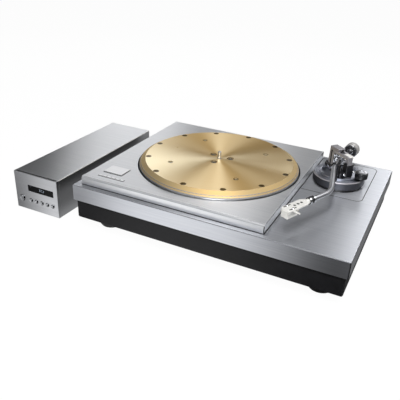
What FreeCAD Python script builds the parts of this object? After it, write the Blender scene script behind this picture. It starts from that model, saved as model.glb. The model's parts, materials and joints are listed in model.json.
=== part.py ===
import FreeCAD, Part

import os
import re
from math import cos, pi, radians, sin, tan

import Sketcher
from FreeCAD import Placement, Rotation, Vector

# A direct-drive turntable and the control unit that stands beside it, in millimetres.
# +Z is up, the front faces -Y, and the origin lies on the ground under the middle of the set.

sizes = [
    ("control_width", 110.0, "control unit, left to right"),
    ("control_depth", 350.0, "control unit, front to back"),
    ("control_height", 84.0, "control unit, ground to top"),
    ("control_gap", 50.0, "space between the control unit and the plinth"),
    ("control_setback", 10.6, "control unit front behind the plinth front"),
    ("platter_radius", 161.5, "platter rim"),
    ("platter_gap", 2.9, "running gap round the platter"),
    ("unit_left_wall", 36.4, "drive unit, platter recess to left side"),
    ("unit_right_wall", 4.8, "drive unit, platter recess to right side"),
    ("unit_front_wall", 23.9, "drive unit, platter recess to front"),
    ("unit_rear_wall", 19.7, "drive unit, platter recess to rear"),
    ("plinth_left_margin", 13.9, "plinth edge to drive unit, left"),
    ("plinth_right_margin", 29.5, "armboard to plinth edge, right"),
    ("plinth_front_margin", 11.8, "plinth edge to drive unit, front"),
    ("plinth_rear_margin", 14.8, "plinth edge to drive unit, rear"),
    ("foot_radius", 25.0, "plinth foot"),
    ("foot_height", 25.4, "plinth base above the ground"),
    ("foot_inset_x", 49.5, "foot centre in from the plinth side"),
    ("foot_inset_y", 54.5, "foot centre in from the plinth front and rear"),
    ("foot_stud_radius", 4.0, "threaded stud of a foot"),
    ("foot_stud_reach", 8.5, "stud up inside the base"),
    ("foot_edge", 2.0, "bevel round a foot"),
    ("base_height", 39.1, "black base under the slab"),
    ("base_inset", 4.2, "base in from the slab edge"),
    ("base_floor", 9.6, "base floor thickness"),
    ("base_round", 3.5, "rounding of the base edges"),
    ("arm_cavity_radius", 58.0, "base cavity under the tonearm"),
    ("cable_way", 40.0, "channel in the base between both cavities"),
    ("slab_thickness", 31.5, "aluminium slab"),
    ("slab_edge", 0.8, "bevel round the slab top"),
    ("slab_corner", 1.5, "rounding of the slab corners"),
    ("armboard_length", 116.5, "armboard, left to right"),
    ("armboard_depth", 173.5, "armboard, front to back"),
    ("armboard_thickness", 16.0, "armboard"),
    ("armboard_gap", 1.1, "drive unit to armboard"),
    ("armboard_rear_margin", 11.5, "armboard to plinth rear"),
    ("armboard_corner", 12.0, "right-hand corners of the armboard"),
    ("armboard_slit", 0.9, "gap round the armboard"),
    ("unit_height", 16.2, "drive unit above its foot gap"),
    ("unit_foot_gap", 1.0, "shadow gap under the drive unit"),
    ("unit_foot_inset", 3.0, "foot of the drive unit in from its side"),
    ("unit_edge", 1.2, "rounding of the drive unit top"),
    ("front_plate_thickness", 8.0, "front plate of the drive unit"),
    ("front_plate_round", 3.5, "rounding of the front plate's top edge"),
    ("well_wall", 3.6, "wall of the motor well"),
    ("well_depth", 26.0, "motor well floor below the slab top"),
    ("well_floor", 8.0, "motor well floor thickness"),
    ("well_slack", 0.5, "motor well to the hole in the slab"),
    ("start_key_length", 41.2, "start key, left to right"),
    ("start_key_depth", 30.5, "start key, front to back"),
    ("start_key_thickness", 9.2, "start key"),
    ("start_key_rise", 1.5, "start key above the drive unit"),
    ("start_key_inset_x", 23.9, "start key from the drive unit's left side"),
    ("start_key_inset_y", 38.2, "start key from the drive unit's front"),
    ("speed_key_length", 18.3, "speed key, left to right"),
    ("speed_key_depth", 5.6, "speed key, front to back"),
    ("speed_key_thickness", 7.0, "speed key"),
    ("speed_key_rise", 0.8, "speed key above the drive unit"),
    ("speed_key_pitch", 19.1, "speed key spacing"),
    ("speed_key_inset_x", 24.6, "first speed key from the drive unit's left side"),
    ("speed_key_inset_y", 19.1, "speed keys from the drive unit's front"),
    ("key_gap", 0.3, "gap round a key"),
    ("key_travel", 1.0, "how far a key goes down"),
    ("key_spare", 0.5, "room left under a pressed key"),
    ("bearing_radius", 18.0, "bearing housing"),
    ("bearing_flange_radius", 30.0, "flange of the bearing housing"),
    ("bearing_flange", 9.0, "flange thickness"),
    ("bearing_drop", 26.0, "bearing housing below the motor well floor"),
    ("bearing_end", 6.0, "closed lower end of the bearing housing"),
    ("bush_radius", 10.0, "bearing bush, outside"),
    ("bush_length", 26.0, "bearing bush"),
    ("shaft_radius", 6.0, "platter shaft"),
    ("shaft_play", 0.03, "running clearance of the platter shaft"),
    ("thrust_gap", 0.3, "shaft end above the closed bearing end"),
    ("seat_play", 0.05, "clearance of a seated pin or collar"),
    ("spindle_radius", 3.6, "centre spindle"),
    ("spindle_neck", 4.4, "spindle neck inside the brass plate"),
    ("spindle_rise", 15.0, "spindle above the platter"),
    ("spindle_dome", 1.6, "domed spindle end"),
    ("board_inner", 19.0, "stator board, inside radius"),
    ("board_outer", 74.0, "stator board, outside radius"),
    ("board_thickness", 1.6, "circuit board"),
    ("coil_height", 6.4, "stator coil"),
    ("coil_radius", 9.5, "stator coil"),
    ("coil_hole", 3.5, "middle of a stator coil"),
    ("coil_circle", 57.5, "circle of the stator coils"),
    ("air_gap", 1.0, "coils to magnets"),
    ("magnet_inner", 44.0, "magnet ring, inside radius"),
    ("magnet_outer", 71.0, "magnet ring, outside radius"),
    ("magnet_height", 6.0, "magnet ring"),
    ("rotor_radius", 76.0, "rotor disc"),
    ("rotor_thickness", 4.0, "rotor disc"),
    ("rotor_boss_radius", 32.0, "rotor boss"),
    ("rotor_boss_height", 6.0, "rotor boss"),
    ("hub_height", 4.0, "platter hub below the web"),
    ("web_thickness", 8.4, "platter web"),
    ("rim_width", 19.5, "platter rim"),
    ("rim_depth", 16.0, "platter rim below the web"),
    ("brass_inset", 4.0, "brass plate in from the platter rim"),
    ("brass_bevel", 8.5, "width of the brass bevel"),
    ("brass_thickness", 10.0, "brass plate"),
    ("brass_edge", 5.4, "height of the brass bevel"),
    ("brass_joint", 0.3, "joint round the brass plate"),
    ("rim_rise", 4.6, "rim top above the brass plate's seat"),
    ("rim_shoulder", 0.7, "rim shoulder below the brass plate's seat"),
    ("plug_radius", 5.8, "balance plug"),
    ("plug_depth", 8.0, "balance plug"),
    ("plug_sink", 0.2, "balance plug below the brass top"),
    ("plug_inset", 6.0, "balance plug's middle in from the flat's edge"),
    ("plug_phase", 27.5, "angle of the first balance plug"),
    ("plate_screw_circle", 101.5, "circle of the plate screws"),
    ("plate_screw_phase", 42.5, "angle of the first plate screw"),
    ("plate_screw_head", 4.1, "plate screw head radius"),
    ("plate_screw_head_height", 4.2, "plate screw head"),
    ("plate_screw_radius", 2.0, "plate screw shank"),
    ("plate_screw_sink", 1.2, "plate screw head below the brass top"),
    ("screw_play", 0.4, "screw head to its counterbore"),
    ("dimple_circle", 100.5, "circle of the two lifting holes"),
    ("dimple_radius", 1.8, "lifting hole"),
    ("dimple_depth", 5.0, "lifting hole"),
    ("dimple_phase", 177.0, "angle of the first lifting hole"),
    ("rotor_screw_circle", 22.5, "circle of the rotor screws"),
    ("rotor_screw_phase", 26.0, "angle of the first rotor screw"),
    ("rotor_screw_head", 5.6, "rotor screw head radius"),
    ("rotor_screw_head_height", 4.4, "rotor screw head"),
    ("rotor_screw_well", 7.0, "counterbore of a rotor screw"),
    ("rotor_screw_sink", 0.8, "rotor screw head below the brass top"),
    ("rotor_screw_radius", 2.5, "rotor screw shank"),
    ("rotor_screw_bite", 6.0, "rotor screw inside the rotor"),
    ("socket_panel_length", 92.0, "socket panel at the rear"),
    ("socket_panel_height", 26.0, "socket panel"),
    ("socket_panel_thickness", 3.0, "socket panel"),
    ("socket_recess", 5.0, "socket panel inside the rear of the base"),
    ("socket_rise", 8.0, "sockets behind their panel"),
    ("socket_sink", 1.0, "bottom of a socket inside its panel"),
    ("socket_radius", 4.2, "phono socket"),
    ("socket_bore", 2.9, "phono socket, inside"),
    ("earth_radius", 2.9, "earth post"),
    ("earth_bore", 2.0, "earth post, inside"),
    ("link_socket_radius", 8.0, "link socket"),
    ("link_socket_bore", 5.6, "link socket, inside"),
    ("phono_left_inset", 13.8, "first phono socket from the panel's left side"),
    ("phono_right_inset", 33.12, "second phono socket from the panel's left side"),
    ("earth_inset", 49.7, "earth post from the panel's left side"),
    ("link_inset", 73.6, "link socket from the panel's left side"),
    ("pivot_inset_x", 57.5, "arm pivot from the armboard's left side"),
    ("pivot_inset_y", 62.5, "arm pivot from the armboard's front"),
    ("pillar_radius", 20.0, "arm pillar in the armboard"),
    ("pillar_drop", 36.0, "arm pillar below the slab top"),
    ("pillar_flange_radius", 44.0, "flange of the arm pillar"),
    ("pillar_flange", 3.5, "flange of the arm pillar"),
    ("stem_radius", 12.0, "stem of the arm base"),
    ("stem_length", 32.0, "stem of the arm base"),
    ("layer_gap", 0.3, "gap between turning layers"),
    ("height_ring_radius", 46.0, "height ring"),
    ("height_ring_height", 3.4, "height ring"),
    ("arm_base_radius", 50.5, "arm base"),
    ("arm_base_height", 15.0, "arm base"),
    ("arm_base_edge", 1.6, "bevel round the arm base"),
    ("arm_step_outer", 38.5, "raised ring on the arm base, outside"),
    ("arm_step_inner", 35.0, "raised ring on the arm base, inside"),
    ("arm_step_height", 2.6, "raised ring on the arm base"),
    ("arm_axis_rise", 27.5, "arm axis above the arm base"),
    ("bridge_turn", 39.6, "bridge turned from the plinth's front"),
    ("bridge_left", 31.0, "bridge top, left of the pivot"),
    ("bridge_left_foot", 33.2, "bridge foot, left of the pivot"),
    ("bridge_right", 26.5, "bridge, right of the pivot"),
    ("bridge_open_left", 17.0, "bridge opening, left of the pivot"),
    ("bridge_open_right", 18.0, "bridge opening, right of the pivot"),
    ("bridge_back", 9.8, "bridge, behind the pivot"),
    ("bridge_depth", 15.6, "bridge, front to back"),
    ("bridge_bar", 11.0, "bridge bar, left part"),
    ("bridge_step", 5.0, "bridge bar lower round the top bearing and right of it"),
    ("bridge_step_left", 5.6, "step of the bridge bar, left of the pivot"),
    ("bridge_corner", 6.0, "bevel of the bridge's right rear corner"),
    ("bridge_clear", 9.0, "bridge bar above the arm axis"),
    ("bridge_edge", 1.0, "bevel of the bridge"),
    ("top_cap_radius", 4.7, "skirt of the top bearing's cap"),
    ("top_cap_height", 2.4, "skirt of the top bearing's cap"),
    ("top_cap_neck", 1.9, "neck of the top bearing's cap"),
    ("top_cap_rise", 6.4, "cap of the top bearing, whole height"),
    ("top_screw_radius", 2.4, "top bearing screw"),
    ("point_radius", 1.2, "bearing point"),
    ("point_reach", 1.2, "bearing point inside the gimbal"),
    ("point_gap", 0.3, "gimbal to bridge bar"),
    ("gimbal_width", 30.0, "gimbal"),
    ("gimbal_depth", 8.0, "gimbal"),
    ("gimbal_window_width", 21.0, "gimbal window"),
    ("gimbal_window_half", 6.0, "gimbal window above and below the arm axis"),
    ("gimbal_below", 10.0, "gimbal below the arm axis"),
    ("gimbal_stem_radius", 3.0, "gimbal stem"),
    ("gimbal_stem_reach", 8.0, "gimbal stem inside the arm base"),
    ("bearing_play", 0.04, "running clearance of the arm bearings"),
    ("arm_turn", 5.5, "arm at rest, turned from straight ahead"),
    ("hub_radius", 5.0, "arm hub"),
    ("hub_half", 5.0, "half the arm hub's length"),
    ("trunnion_radius", 1.5, "arm hub pin"),
    ("trunnion_reach", 13.5, "arm hub pin from the middle"),
    ("tube_radius", 4.5, "arm tube, outside"),
    ("tube_wall", 1.0, "arm tube wall"),
    ("tube_run_1", 44.0, "arm tube, pivot to first bend"),
    ("tube_run_2", 109.1, "arm tube, first to second bend"),
    ("tube_run_3", 54.5, "arm tube, second bend to collar"),
    ("tube_lean_2", 11.5, "second run, turned towards the right"),
    ("tube_lean_3", 23.0, "third run, turned towards the left"),
    ("tube_bend_1", 60.0, "radius of the first bend"),
    ("tube_bend_2", 55.0, "radius of the second bend"),
    ("collar_length", 14.0, "locking collar"),
    ("collar_radius", 6.4, "locking collar"),
    ("shell_width", 19.0, "headshell"),
    ("shell_thickness", 3.2, "headshell"),
    ("shell_neck", 11.0, "neck of the headshell past the collar"),
    ("shell_front", 66.0, "headshell front from the collar"),
    ("shell_drop", 1.0, "headshell top below the tube's top"),
    ("finger_reach", 15.0, "finger lift"),
    ("finger_width", 4.0, "finger lift"),
    ("finger_thickness", 1.2, "finger lift"),
    ("cartridge_length", 26.0, "cartridge"),
    ("cartridge_width", 16.0, "cartridge"),
    ("cartridge_height", 13.0, "cartridge"),
    ("stylus_from_collar", 57.0, "stylus from the collar"),
    ("stylus_ahead", 9.0, "stylus behind the cartridge front"),
    ("stylus_radius", 0.6, "stylus point"),
    ("stylus_arm", 9.0, "stylus carrier"),
    ("stylus_carrier_width", 5.0, "stylus carrier"),
    ("stylus_carrier_height", 1.6, "stylus carrier"),
    ("record_thickness", 1.9, "stylus height over the bare platter"),
    ("weight_shaft_radius", 4.0, "counterweight shaft"),
    ("weight_shaft_end", 71.4, "end of the counterweight shaft behind the pivot"),
    ("weight_near", 52.0, "counterweight behind the pivot"),
    ("weight_length", 21.0, "counterweight with its dial"),
    ("weight_radius", 14.0, "counterweight"),
    ("dial_length", 4.6, "counterweight dial"),
    ("dial_radius", 13.6, "counterweight dial"),
    ("skate_offset_x", 44.0, "force dial right of the pivot"),
    ("skate_offset_y", 11.0, "force dial in front of the pivot"),
    ("skate_radius", 12.2, "force dial"),
    ("skate_height", 13.2, "force dial"),
    ("skate_lift", 0.5, "force dial above the raised ring"),
    ("skate_shaft_radius", 3.0, "force dial shaft"),
    ("skate_shaft_reach", 9.0, "force dial shaft inside the arm base"),
    ("lifter_turn", 14.0, "lifter turned from straight ahead, to the right"),
    ("lifter_circle", 27.0, "lifter from the pivot"),
    ("lifter_housing_radius", 6.5, "lifter housing"),
    ("lifter_housing_height", 13.0, "lifter housing"),
    ("lifter_post_radius", 2.0, "lifter post"),
    ("lifter_post_reach", 8.0, "lifter post inside its housing"),
    ("lifter_bar_width", 4.0, "lifter bar"),
    ("lifter_bar_height", 3.0, "lifter bar"),
    ("lifter_bar_sweep", 84.0, "arc of the lifter bar"),
    ("lifter_bar_lead", 5.0, "lifter bar past its post"),
    ("lifter_travel", 5.0, "lifter bar's way down"),
    ("rest_gap", 0.3, "arm tube to what carries it"),
    ("lever_height", 7.5, "cue lever axle above the arm base"),
    ("lever_axle_radius", 1.5, "cue lever axle"),
    ("lever_axle_start", 3.2, "inner end of the cue lever axle from the lifter's middle"),
    ("lever_hub_radius", 3.2, "cue lever hub"),
    ("lever_hub_length", 3.0, "cue lever hub"),
    ("lever_length", 25.0, "cue lever"),
    ("lever_radius", 1.4, "cue lever"),
    ("lever_rise", 20.0, "cue lever's upward angle"),
    ("rest_circle", 43.0, "arm rest from the pivot"),
    ("rest_depth", 7.0, "arm rest, front to back"),
    ("rest_prong", 3.0, "arm rest prong"),
    ("rest_bend_room", 1.1, "room for the start of the tube's bend"),
    ("rest_column", 6.0, "arm rest column"),
    ("clip_pin_radius", 0.9, "clip pin"),
    ("clip_height", 2.6, "clip"),
    ("clip_length", 13.0, "clip"),
    ("clip_tilt", 10.0, "open clip leaning out"),
    ("cover_wall", 2.0, "control unit cover"),
    ("control_foot_height", 2.0, "control unit foot"),
    ("control_foot_radius", 9.0, "control unit foot"),
    ("control_foot_inset", 18.0, "control unit foot from each side"),
    ("panel_thickness", 8.0, "control unit front panel"),
    ("panel_edge", 0.6, "bevel of the front panel"),
    ("rear_thickness", 2.0, "control unit rear panel"),
    ("window_left", 34.0, "display window from the panel's left side"),
    ("window_length", 65.7, "display window"),
    ("window_drop", 24.0, "display window below the top of the control unit"),
    ("window_height", 14.0, "display window"),
    ("window_sink", 0.6, "display window behind the panel face"),
    ("window_thickness", 3.0, "display window"),
    ("button_height", 25.4, "buttons above the ground"),
    ("power_button_left", 15.6, "power button from the panel's left side"),
    ("power_button_radius", 6.0, "power button"),
    ("button_left", 38.9, "first small button from the panel's left side"),
    ("button_pitch", 14.15, "small button spacing"),
    ("button_radius", 3.4, "small button"),
    ("button_gap", 0.25, "gap round a button"),
    ("button_rise", 2.4, "button in front of the panel"),
    ("button_travel", 1.5, "how far a button goes in"),
    ("button_rim", 1.2, "rim that holds a button in"),
    ("button_rim_thickness", 1.5, "rim that holds a button in"),
    ("button_slack", 0.3, "rim behind the panel"),
    ("switch_spare", 0.5, "room left behind a pressed button"),
    ("switch_length", 5.0, "switch"),
    ("switch_board_margin", 15.6, "space over the switch board"),
    ("main_board_length", 200.0, "main circuit board"),
    ("main_board_rise", 8.0, "main circuit board above the case floor"),
    ("transformer_radius", 34.0, "ring transformer"),
    ("transformer_height", 36.0, "ring transformer"),
    ("transformer_hole", 12.0, "middle of the ring transformer"),
    ("transformer_inset", 60.0, "transformer centre from the rear"),
    ("inlet_width", 28.0, "mains inlet"),
    ("inlet_height", 20.0, "mains inlet"),
    ("inlet_depth", 12.0, "mains inlet inside the case"),
    ("inlet_inset", 33.0, "mains inlet from the control unit's left side"),
    ("rear_link_inset", 79.2, "link socket from the control unit's left side"),
]

plug_count = 12
plate_screw_count = 4
rotor_screw_count = 3
coil_count = 12

# Places worked out from the sizes: layout first, then heights from the ground up.
places = {
    "recess_radius": "platter_radius + platter_gap",
    "unit_length": "unit_left_wall + 2 * recess_radius + unit_right_wall",
    "unit_depth": "unit_front_wall + 2 * recess_radius + unit_rear_wall",
    "plinth_length":
        "plinth_left_margin + unit_length + armboard_gap + armboard_length + plinth_right_margin",
    "plinth_depth": "plinth_front_margin + unit_depth + plinth_rear_margin",
    "set_length": "control_width + control_gap + plinth_length",
    "control_left": "-set_length / 2",
    "plinth_left": "set_length / 2 - plinth_length",
    "plinth_middle": "plinth_left + plinth_length / 2",
    "plinth_front": "-plinth_depth / 2",
    "control_front_y": "plinth_front + control_setback",
    "unit_left": "plinth_left + plinth_left_margin",
    "unit_front": "plinth_front + plinth_front_margin",
    "spindle_x": "unit_left + unit_left_wall + recess_radius",
    "spindle_y": "unit_front + unit_front_wall + recess_radius",
    "armboard_left": "unit_left + unit_length + armboard_gap",
    "armboard_front": "plinth_depth / 2 - armboard_rear_margin - armboard_depth",
    "pivot_x": "armboard_left + pivot_inset_x",
    "pivot_y": "armboard_front + pivot_inset_y",
    "slab_bottom": "foot_height + base_height",
    "slab_top": "slab_bottom + slab_thickness",
    "base_floor_top": "foot_height + base_floor",
    "unit_bottom": "slab_top + unit_foot_gap",
    "unit_top": "unit_bottom + unit_height",
    "well_radius": "recess_radius + well_wall",
    "slab_hole_radius": "well_radius + well_slack",
    "well_floor_top": "slab_top - well_depth",
    "well_floor_bottom": "well_floor_top - well_floor",
    "bearing_bottom": "well_floor_top - bearing_drop",
    "flange_top": "well_floor_top + bearing_flange",
    "shaft_bottom": "bearing_bottom + bearing_end + thrust_gap",
    "board_top": "flange_top + board_thickness",
    "coil_top": "board_top + coil_height",
    "magnet_bottom": "coil_top + air_gap",
    "rotor_bottom": "magnet_bottom + magnet_height",
    "rotor_top": "rotor_bottom + rotor_thickness",
    "boss_top": "rotor_top + rotor_boss_height",
    "web_bottom": "boss_top + hub_height",
    "brass_seat": "web_bottom + web_thickness",
    "platter_top": "brass_seat + brass_thickness",
    "brass_radius": "platter_radius - brass_inset",
    "brass_top_radius": "brass_radius - brass_bevel",
    "plug_circle": "brass_top_radius - plug_inset",
    "spindle_top": "platter_top + spindle_rise",
    "pillar_bottom": "slab_top - pillar_drop",
    "pillar_top": "slab_top + pillar_flange",
    "height_ring_bottom": "pillar_top + layer_gap",
    "arm_base_bottom": "height_ring_bottom + height_ring_height + layer_gap",
    "disc_top": "arm_base_bottom + arm_base_height",
    "arm_axis": "disc_top + arm_axis_rise",
    "bar_bottom": "arm_axis + bridge_clear",
    "bridge_top": "bar_bottom + bridge_bar",
    "bridge_low": "bridge_top - bridge_step",
    "gimbal_bottom": "arm_axis - gimbal_below",
    "gimbal_top": "bar_bottom - point_gap",
    "tube_underside": "arm_axis - tube_radius",
    "collar_x":
        "pivot_x - tube_run_1 * sin(arm_turn) + tube_run_2 * sin(tube_lean_2)"
        " - tube_run_3 * sin(tube_lean_3)",
    "collar_y":
        "pivot_y - tube_run_1 * cos(arm_turn) - tube_run_2 * cos(tube_lean_2)"
        " - tube_run_3 * cos(tube_lean_3)",
    "shell_top": "arm_axis + tube_radius - shell_drop",
    "shell_bottom": "shell_top - shell_thickness",
    "cartridge_bottom": "shell_bottom - cartridge_height",
    "stylus_tip": "platter_top + record_thickness",
    "cartridge_front": "stylus_from_collar + stylus_ahead",
    "skate_bottom": "disc_top + arm_step_height + skate_lift",
    "lifter_bar_top": "tube_underside - rest_gap",
    "lifter_bar_bottom": "lifter_bar_top - lifter_bar_height",
    "lifter_housing_top": "disc_top + lifter_housing_height",
    "lifter_post_bottom": "lifter_housing_top - lifter_post_reach",
    "rest_slot_half": "tube_radius + rest_gap + rest_bend_room",
    "clip_pin_x": "rest_slot_half + rest_prong / 2",
    "clip_pin_z": "arm_axis + tube_radius + rest_gap + clip_height / 2",
    "rest_prong_top": "clip_pin_z + clip_height",
    "case_bottom": "control_foot_height",
    "case_floor": "case_bottom + cover_wall",
    "case_front": "control_front_y + panel_thickness",
    "case_rear": "control_front_y + control_depth",
    "window_bottom": "control_height - window_drop - window_height",
    "case_inner_width": "control_width - 2 * cover_wall",
    "case_inner_height": "control_height - case_bottom - 2 * cover_wall",
    "switch_face":
        "case_front + button_slack + button_rim_thickness + button_travel + switch_spare",
    "switch_board_front": "switch_face + switch_length",
    "socket_panel_front":
        "plinth_depth / 2 - base_inset - socket_recess - socket_panel_thickness",
    "socket_panel_bottom": "slab_bottom - base_height / 2 - socket_panel_height / 2",
}

doc = FreeCAD.newDocument("Turntable")
sheet = doc.addObject("Spreadsheet::Sheet", "Sizes")
for row, (alias, number, meaning) in enumerate(sizes, start=1):
    sheet.set(f"A{row}", meaning)
    sheet.set(f"B{row}", str(number))
    sheet.setAlias(f"B{row}", alias)
doc.recompute()

aliases = {alias for alias, _, _ in sizes}
finished = []


def formula(text):
    """Write out a formula with every place opened up and every size read from the sheet."""
    def open_up(found):
        word = found.group()
        if word in places:
            return f"({formula(places[word])})"
        return f"Sizes.{word}" if word in aliases else word
    return re.sub(r"[a-z][a-z_0-9]*", open_up, str(text))


def value(text):
    return float(sheet.evalExpression(formula(text)))


def bind(thing, **formulas):
    for name, text in formulas.items():
        thing.setExpression(name.replace("__", "."), formula(text))
    return thing


def place(thing, x="0", y="0", z="0", turn=None):
    """Put a piece at x, y, z and turn it about the upright through that point."""
    bind(thing, Placement__Base__x=x, Placement__Base__y=y, Placement__Base__z=z)
    if turn is not None:
        bind(thing, Placement__Rotation__Angle=turn)
    return thing


def finish(thing, label):
    """Name a sub-part and remember it for the hand-out."""
    thing.Label = label
    finished.append(thing)
    return thing


def add(kind, name):
    return doc.addObject(kind, name)


# Plain shapes

def block(name, x, y, z, length, width, height):
    """A block by its left front lower corner."""
    return place(bind(add("Part::Box", name), Length=length, Width=width, Height=height), x, y, z)


def middle_block(name, x, y, z, length, width, height):
    """A block by the middle of its underside."""
    left = f"{x} - ({length}) / 2"
    front = f"{y} - ({width}) / 2"
    return block(name, left, front, z, length, width, height)


def rod(name, x, y, z, radius, height, along=None):
    """A rod from x, y, z upwards, or along +Y or +X."""
    thing = bind(add("Part::Cylinder", name), Radius=radius, Height=height)
    if along == "Y":
        thing.Placement = Placement(Vector(), Rotation(Vector(1, 0, 0), -90))
    if along == "X":
        thing.Placement = Placement(Vector(), Rotation(Vector(0, 1, 0), 90))
    return place(thing, x, y, z)


def fuse(name, *pieces):
    thing = add("Part::MultiFuse", name)
    thing.Shapes = list(pieces)
    thing.Refine = True
    return thing


def cut(name, base, *tools):
    thing = add("Part::Cut", name)
    thing.Base = base
    thing.Tool = tools[0] if len(tools) == 1 else group(f"{name}_tools", *tools)
    return thing


def group(name, *pieces):
    thing = add("Part::Compound", name)
    thing.Links = list(pieces)
    return thing


def tube(name, x, y, z, outer, inner, height, along=None):
    return cut(
        name,
        rod(f"{name}_body", x, y, z, outer, height, along),
        rod(f"{name}_bore", x, y, z, inner, height, along),
    )


def around(name, count, x, y, circle, phase, make):
    """Copies on a circle about x, y, each made by a function of its name and place."""
    copies = []
    for number in range(count):
        angle = f"({phase} + {number} * 360 / {count})"
        place_x = f"{x} + {circle} * cos({angle})"
        place_y = f"{y} + {circle} * sin({angle})"
        copies.append(make(f"{name}_{number + 1}", place_x, place_y))
    return copies


# Bodies made of sketches

def body_of(label):
    return finish(add("PartDesign::Body", label), label)


def sketch_on(body, name, role="XY_Plane", height=None):
    """An empty sketch on one of the body's own planes."""
    sketch = body.newObject("Sketcher::SketchObject", name)
    plane = next(item for item in body.Origin.OriginFeatures if item.Role == role)
    sketch.AttachmentSupport = [(plane, "")]
    sketch.MapMode = "FlatFace"
    if height is not None:
        bind(sketch, AttachmentOffset__Base__z=height)
    return sketch


def hold(sketch, kind, index, corner, text):
    """Hold a point of the sketch at its distance from the origin."""
    number = sketch.addConstraint(Sketcher.Constraint(kind, -1, 1, index, corner, value(text)))
    sketch.setExpression(f"Constraints[{number}]", formula(text))


def outline(sketch, corners):
    """A closed outline through corners, each held by its two distances."""
    spots = [Vector(value(first), value(second), 0) for first, second in corners]
    count = len(corners)
    for index, spot in enumerate(spots):
        sketch.addGeometry(Part.LineSegment(spot, spots[(index + 1) % count]))
    for index in range(count):
        sketch.addConstraint(Sketcher.Constraint("Coincident", index, 2, (index + 1) % count, 1))
    for index, (first, second) in enumerate(corners):
        hold(sketch, "DistanceX", index, 1, first)
        hold(sketch, "DistanceY", index, 1, second)
    return sketch


def rectangle(sketch, left, front, length, width):
    right = f"{left} + {length}"
    back = f"{front} + {width}"
    return outline(sketch, [(left, front), (right, front), (right, back), (left, back)])


def circle(sketch, x, y, radius):
    ring = Part.Circle(Vector(value(x), value(y), 0), Vector(0, 0, 1), value(radius))
    index = sketch.addGeometry(ring)
    number = sketch.addConstraint(Sketcher.Constraint("Radius", index, value(radius)))
    sketch.setExpression(f"Constraints[{number}]", formula(radius))
    centre = 3
    hold(sketch, "DistanceX", index, centre, x)
    hold(sketch, "DistanceY", index, centre, y)
    return sketch


def pad(body, sketch, height):
    feature = body.newObject("PartDesign::Pad", f"{sketch.Name}_pad")
    feature.Profile = sketch
    return bind(feature, Length=height)


def pocket(body, sketch, depth):
    feature = body.newObject("PartDesign::Pocket", f"{sketch.Name}_pocket")
    feature.Profile = sketch
    return bind(feature, Length=depth)


def revolve(body, sketch):
    feature = body.newObject("PartDesign::Revolution", f"{sketch.Name}_turned")
    feature.Profile = sketch
    feature.ReferenceAxis = (sketch, ["V_Axis"])
    return feature


def turned(label, corners, x, y):
    """A turned piece about the upright through x, y, from its radius and height pairs."""
    body = body_of(label)
    revolve(body, outline(sketch_on(body, f"{label}_profile", "XZ_Plane"), corners))
    return place(body, x, y)


def polar(body, feature, count):
    pattern = body.newObject("PartDesign::PolarPattern", f"{feature.Name}_pattern")
    pattern.Originals = [feature]
    axis = next(item for item in body.Origin.OriginFeatures if item.Role == "Z_Axis")
    pattern.Axis = (axis, [""])
    pattern.Angle = 360
    pattern.Occurrences = count
    body.Tip = pattern
    return pattern


def soften(body, kind, name, radius, wanted):
    """Round or bevel the edges of the body that a test picks out."""
    doc.recompute()
    base = body.Tip
    names = [f"Edge{i}" for i, edge in enumerate(base.Shape.Edges, start=1) if wanted(edge)]
    feature = body.newObject(f"PartDesign::{kind}", name)
    feature.Base = (base, names)
    return bind(feature, **{"Radius" if kind == "Fillet" else "Size": radius})


def upright(edge):
    """True for a straight edge along Z."""
    box = edge.BoundBox
    return box.XLength < 1e-4 and box.YLength < 1e-4 and box.ZLength > 1e-3


def level_at(edge, height):
    """True for an edge that lies level at a height."""
    box = edge.BoundBox
    return abs(box.ZMin - height) < 1e-4 and abs(box.ZMax - height) < 1e-4


def near(edge, x=None, y=None, reach=1e-3):
    """True where the middle of an edge lies on the lines x and y."""
    spot = edge.BoundBox.Center
    return (x is None or abs(spot.x - x) < reach) and (y is None or abs(spot.y - y) < reach)


# Plinth: slab, base, feet and armboard

def make_slab():
    body = body_of("plinth_top")
    plan = sketch_on(body, "slab_plan", height="slab_bottom")
    rectangle(plan, "plinth_left", "plinth_front", "plinth_length", "plinth_depth")
    pad(body, plan, "slab_thickness")
    soften(body, "Fillet", "slab_corners", "slab_corner", upright)
    top = value("slab_top")
    soften(body, "Chamfer", "slab_bevel", "slab_edge", lambda edge: level_at(edge, top))
    well = circle(sketch_on(body, "slab_well", height="slab_top"),
                  "spindle_x", "spindle_y", "slab_hole_radius")
    pocket(body, well, "slab_thickness")
    seat = rectangle(sketch_on(body, "armboard_seat", height="slab_top"),
                     "armboard_left - armboard_slit", "armboard_front - armboard_slit",
                     "armboard_length + 2 * armboard_slit", "armboard_depth + 2 * armboard_slit")
    pocket(body, seat, "armboard_thickness")
    right = value("armboard_left + armboard_length + armboard_slit")
    soften(body, "Fillet", "armboard_seat_corners", "armboard_corner + armboard_slit",
           lambda edge: upright(edge) and near(edge, x=right))
    hole = circle(sketch_on(body, "arm_hole", height="slab_top - armboard_thickness"),
                  "pivot_x", "pivot_y", "pillar_flange_radius")
    pocket(body, hole, "slab_thickness - armboard_thickness")


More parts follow.
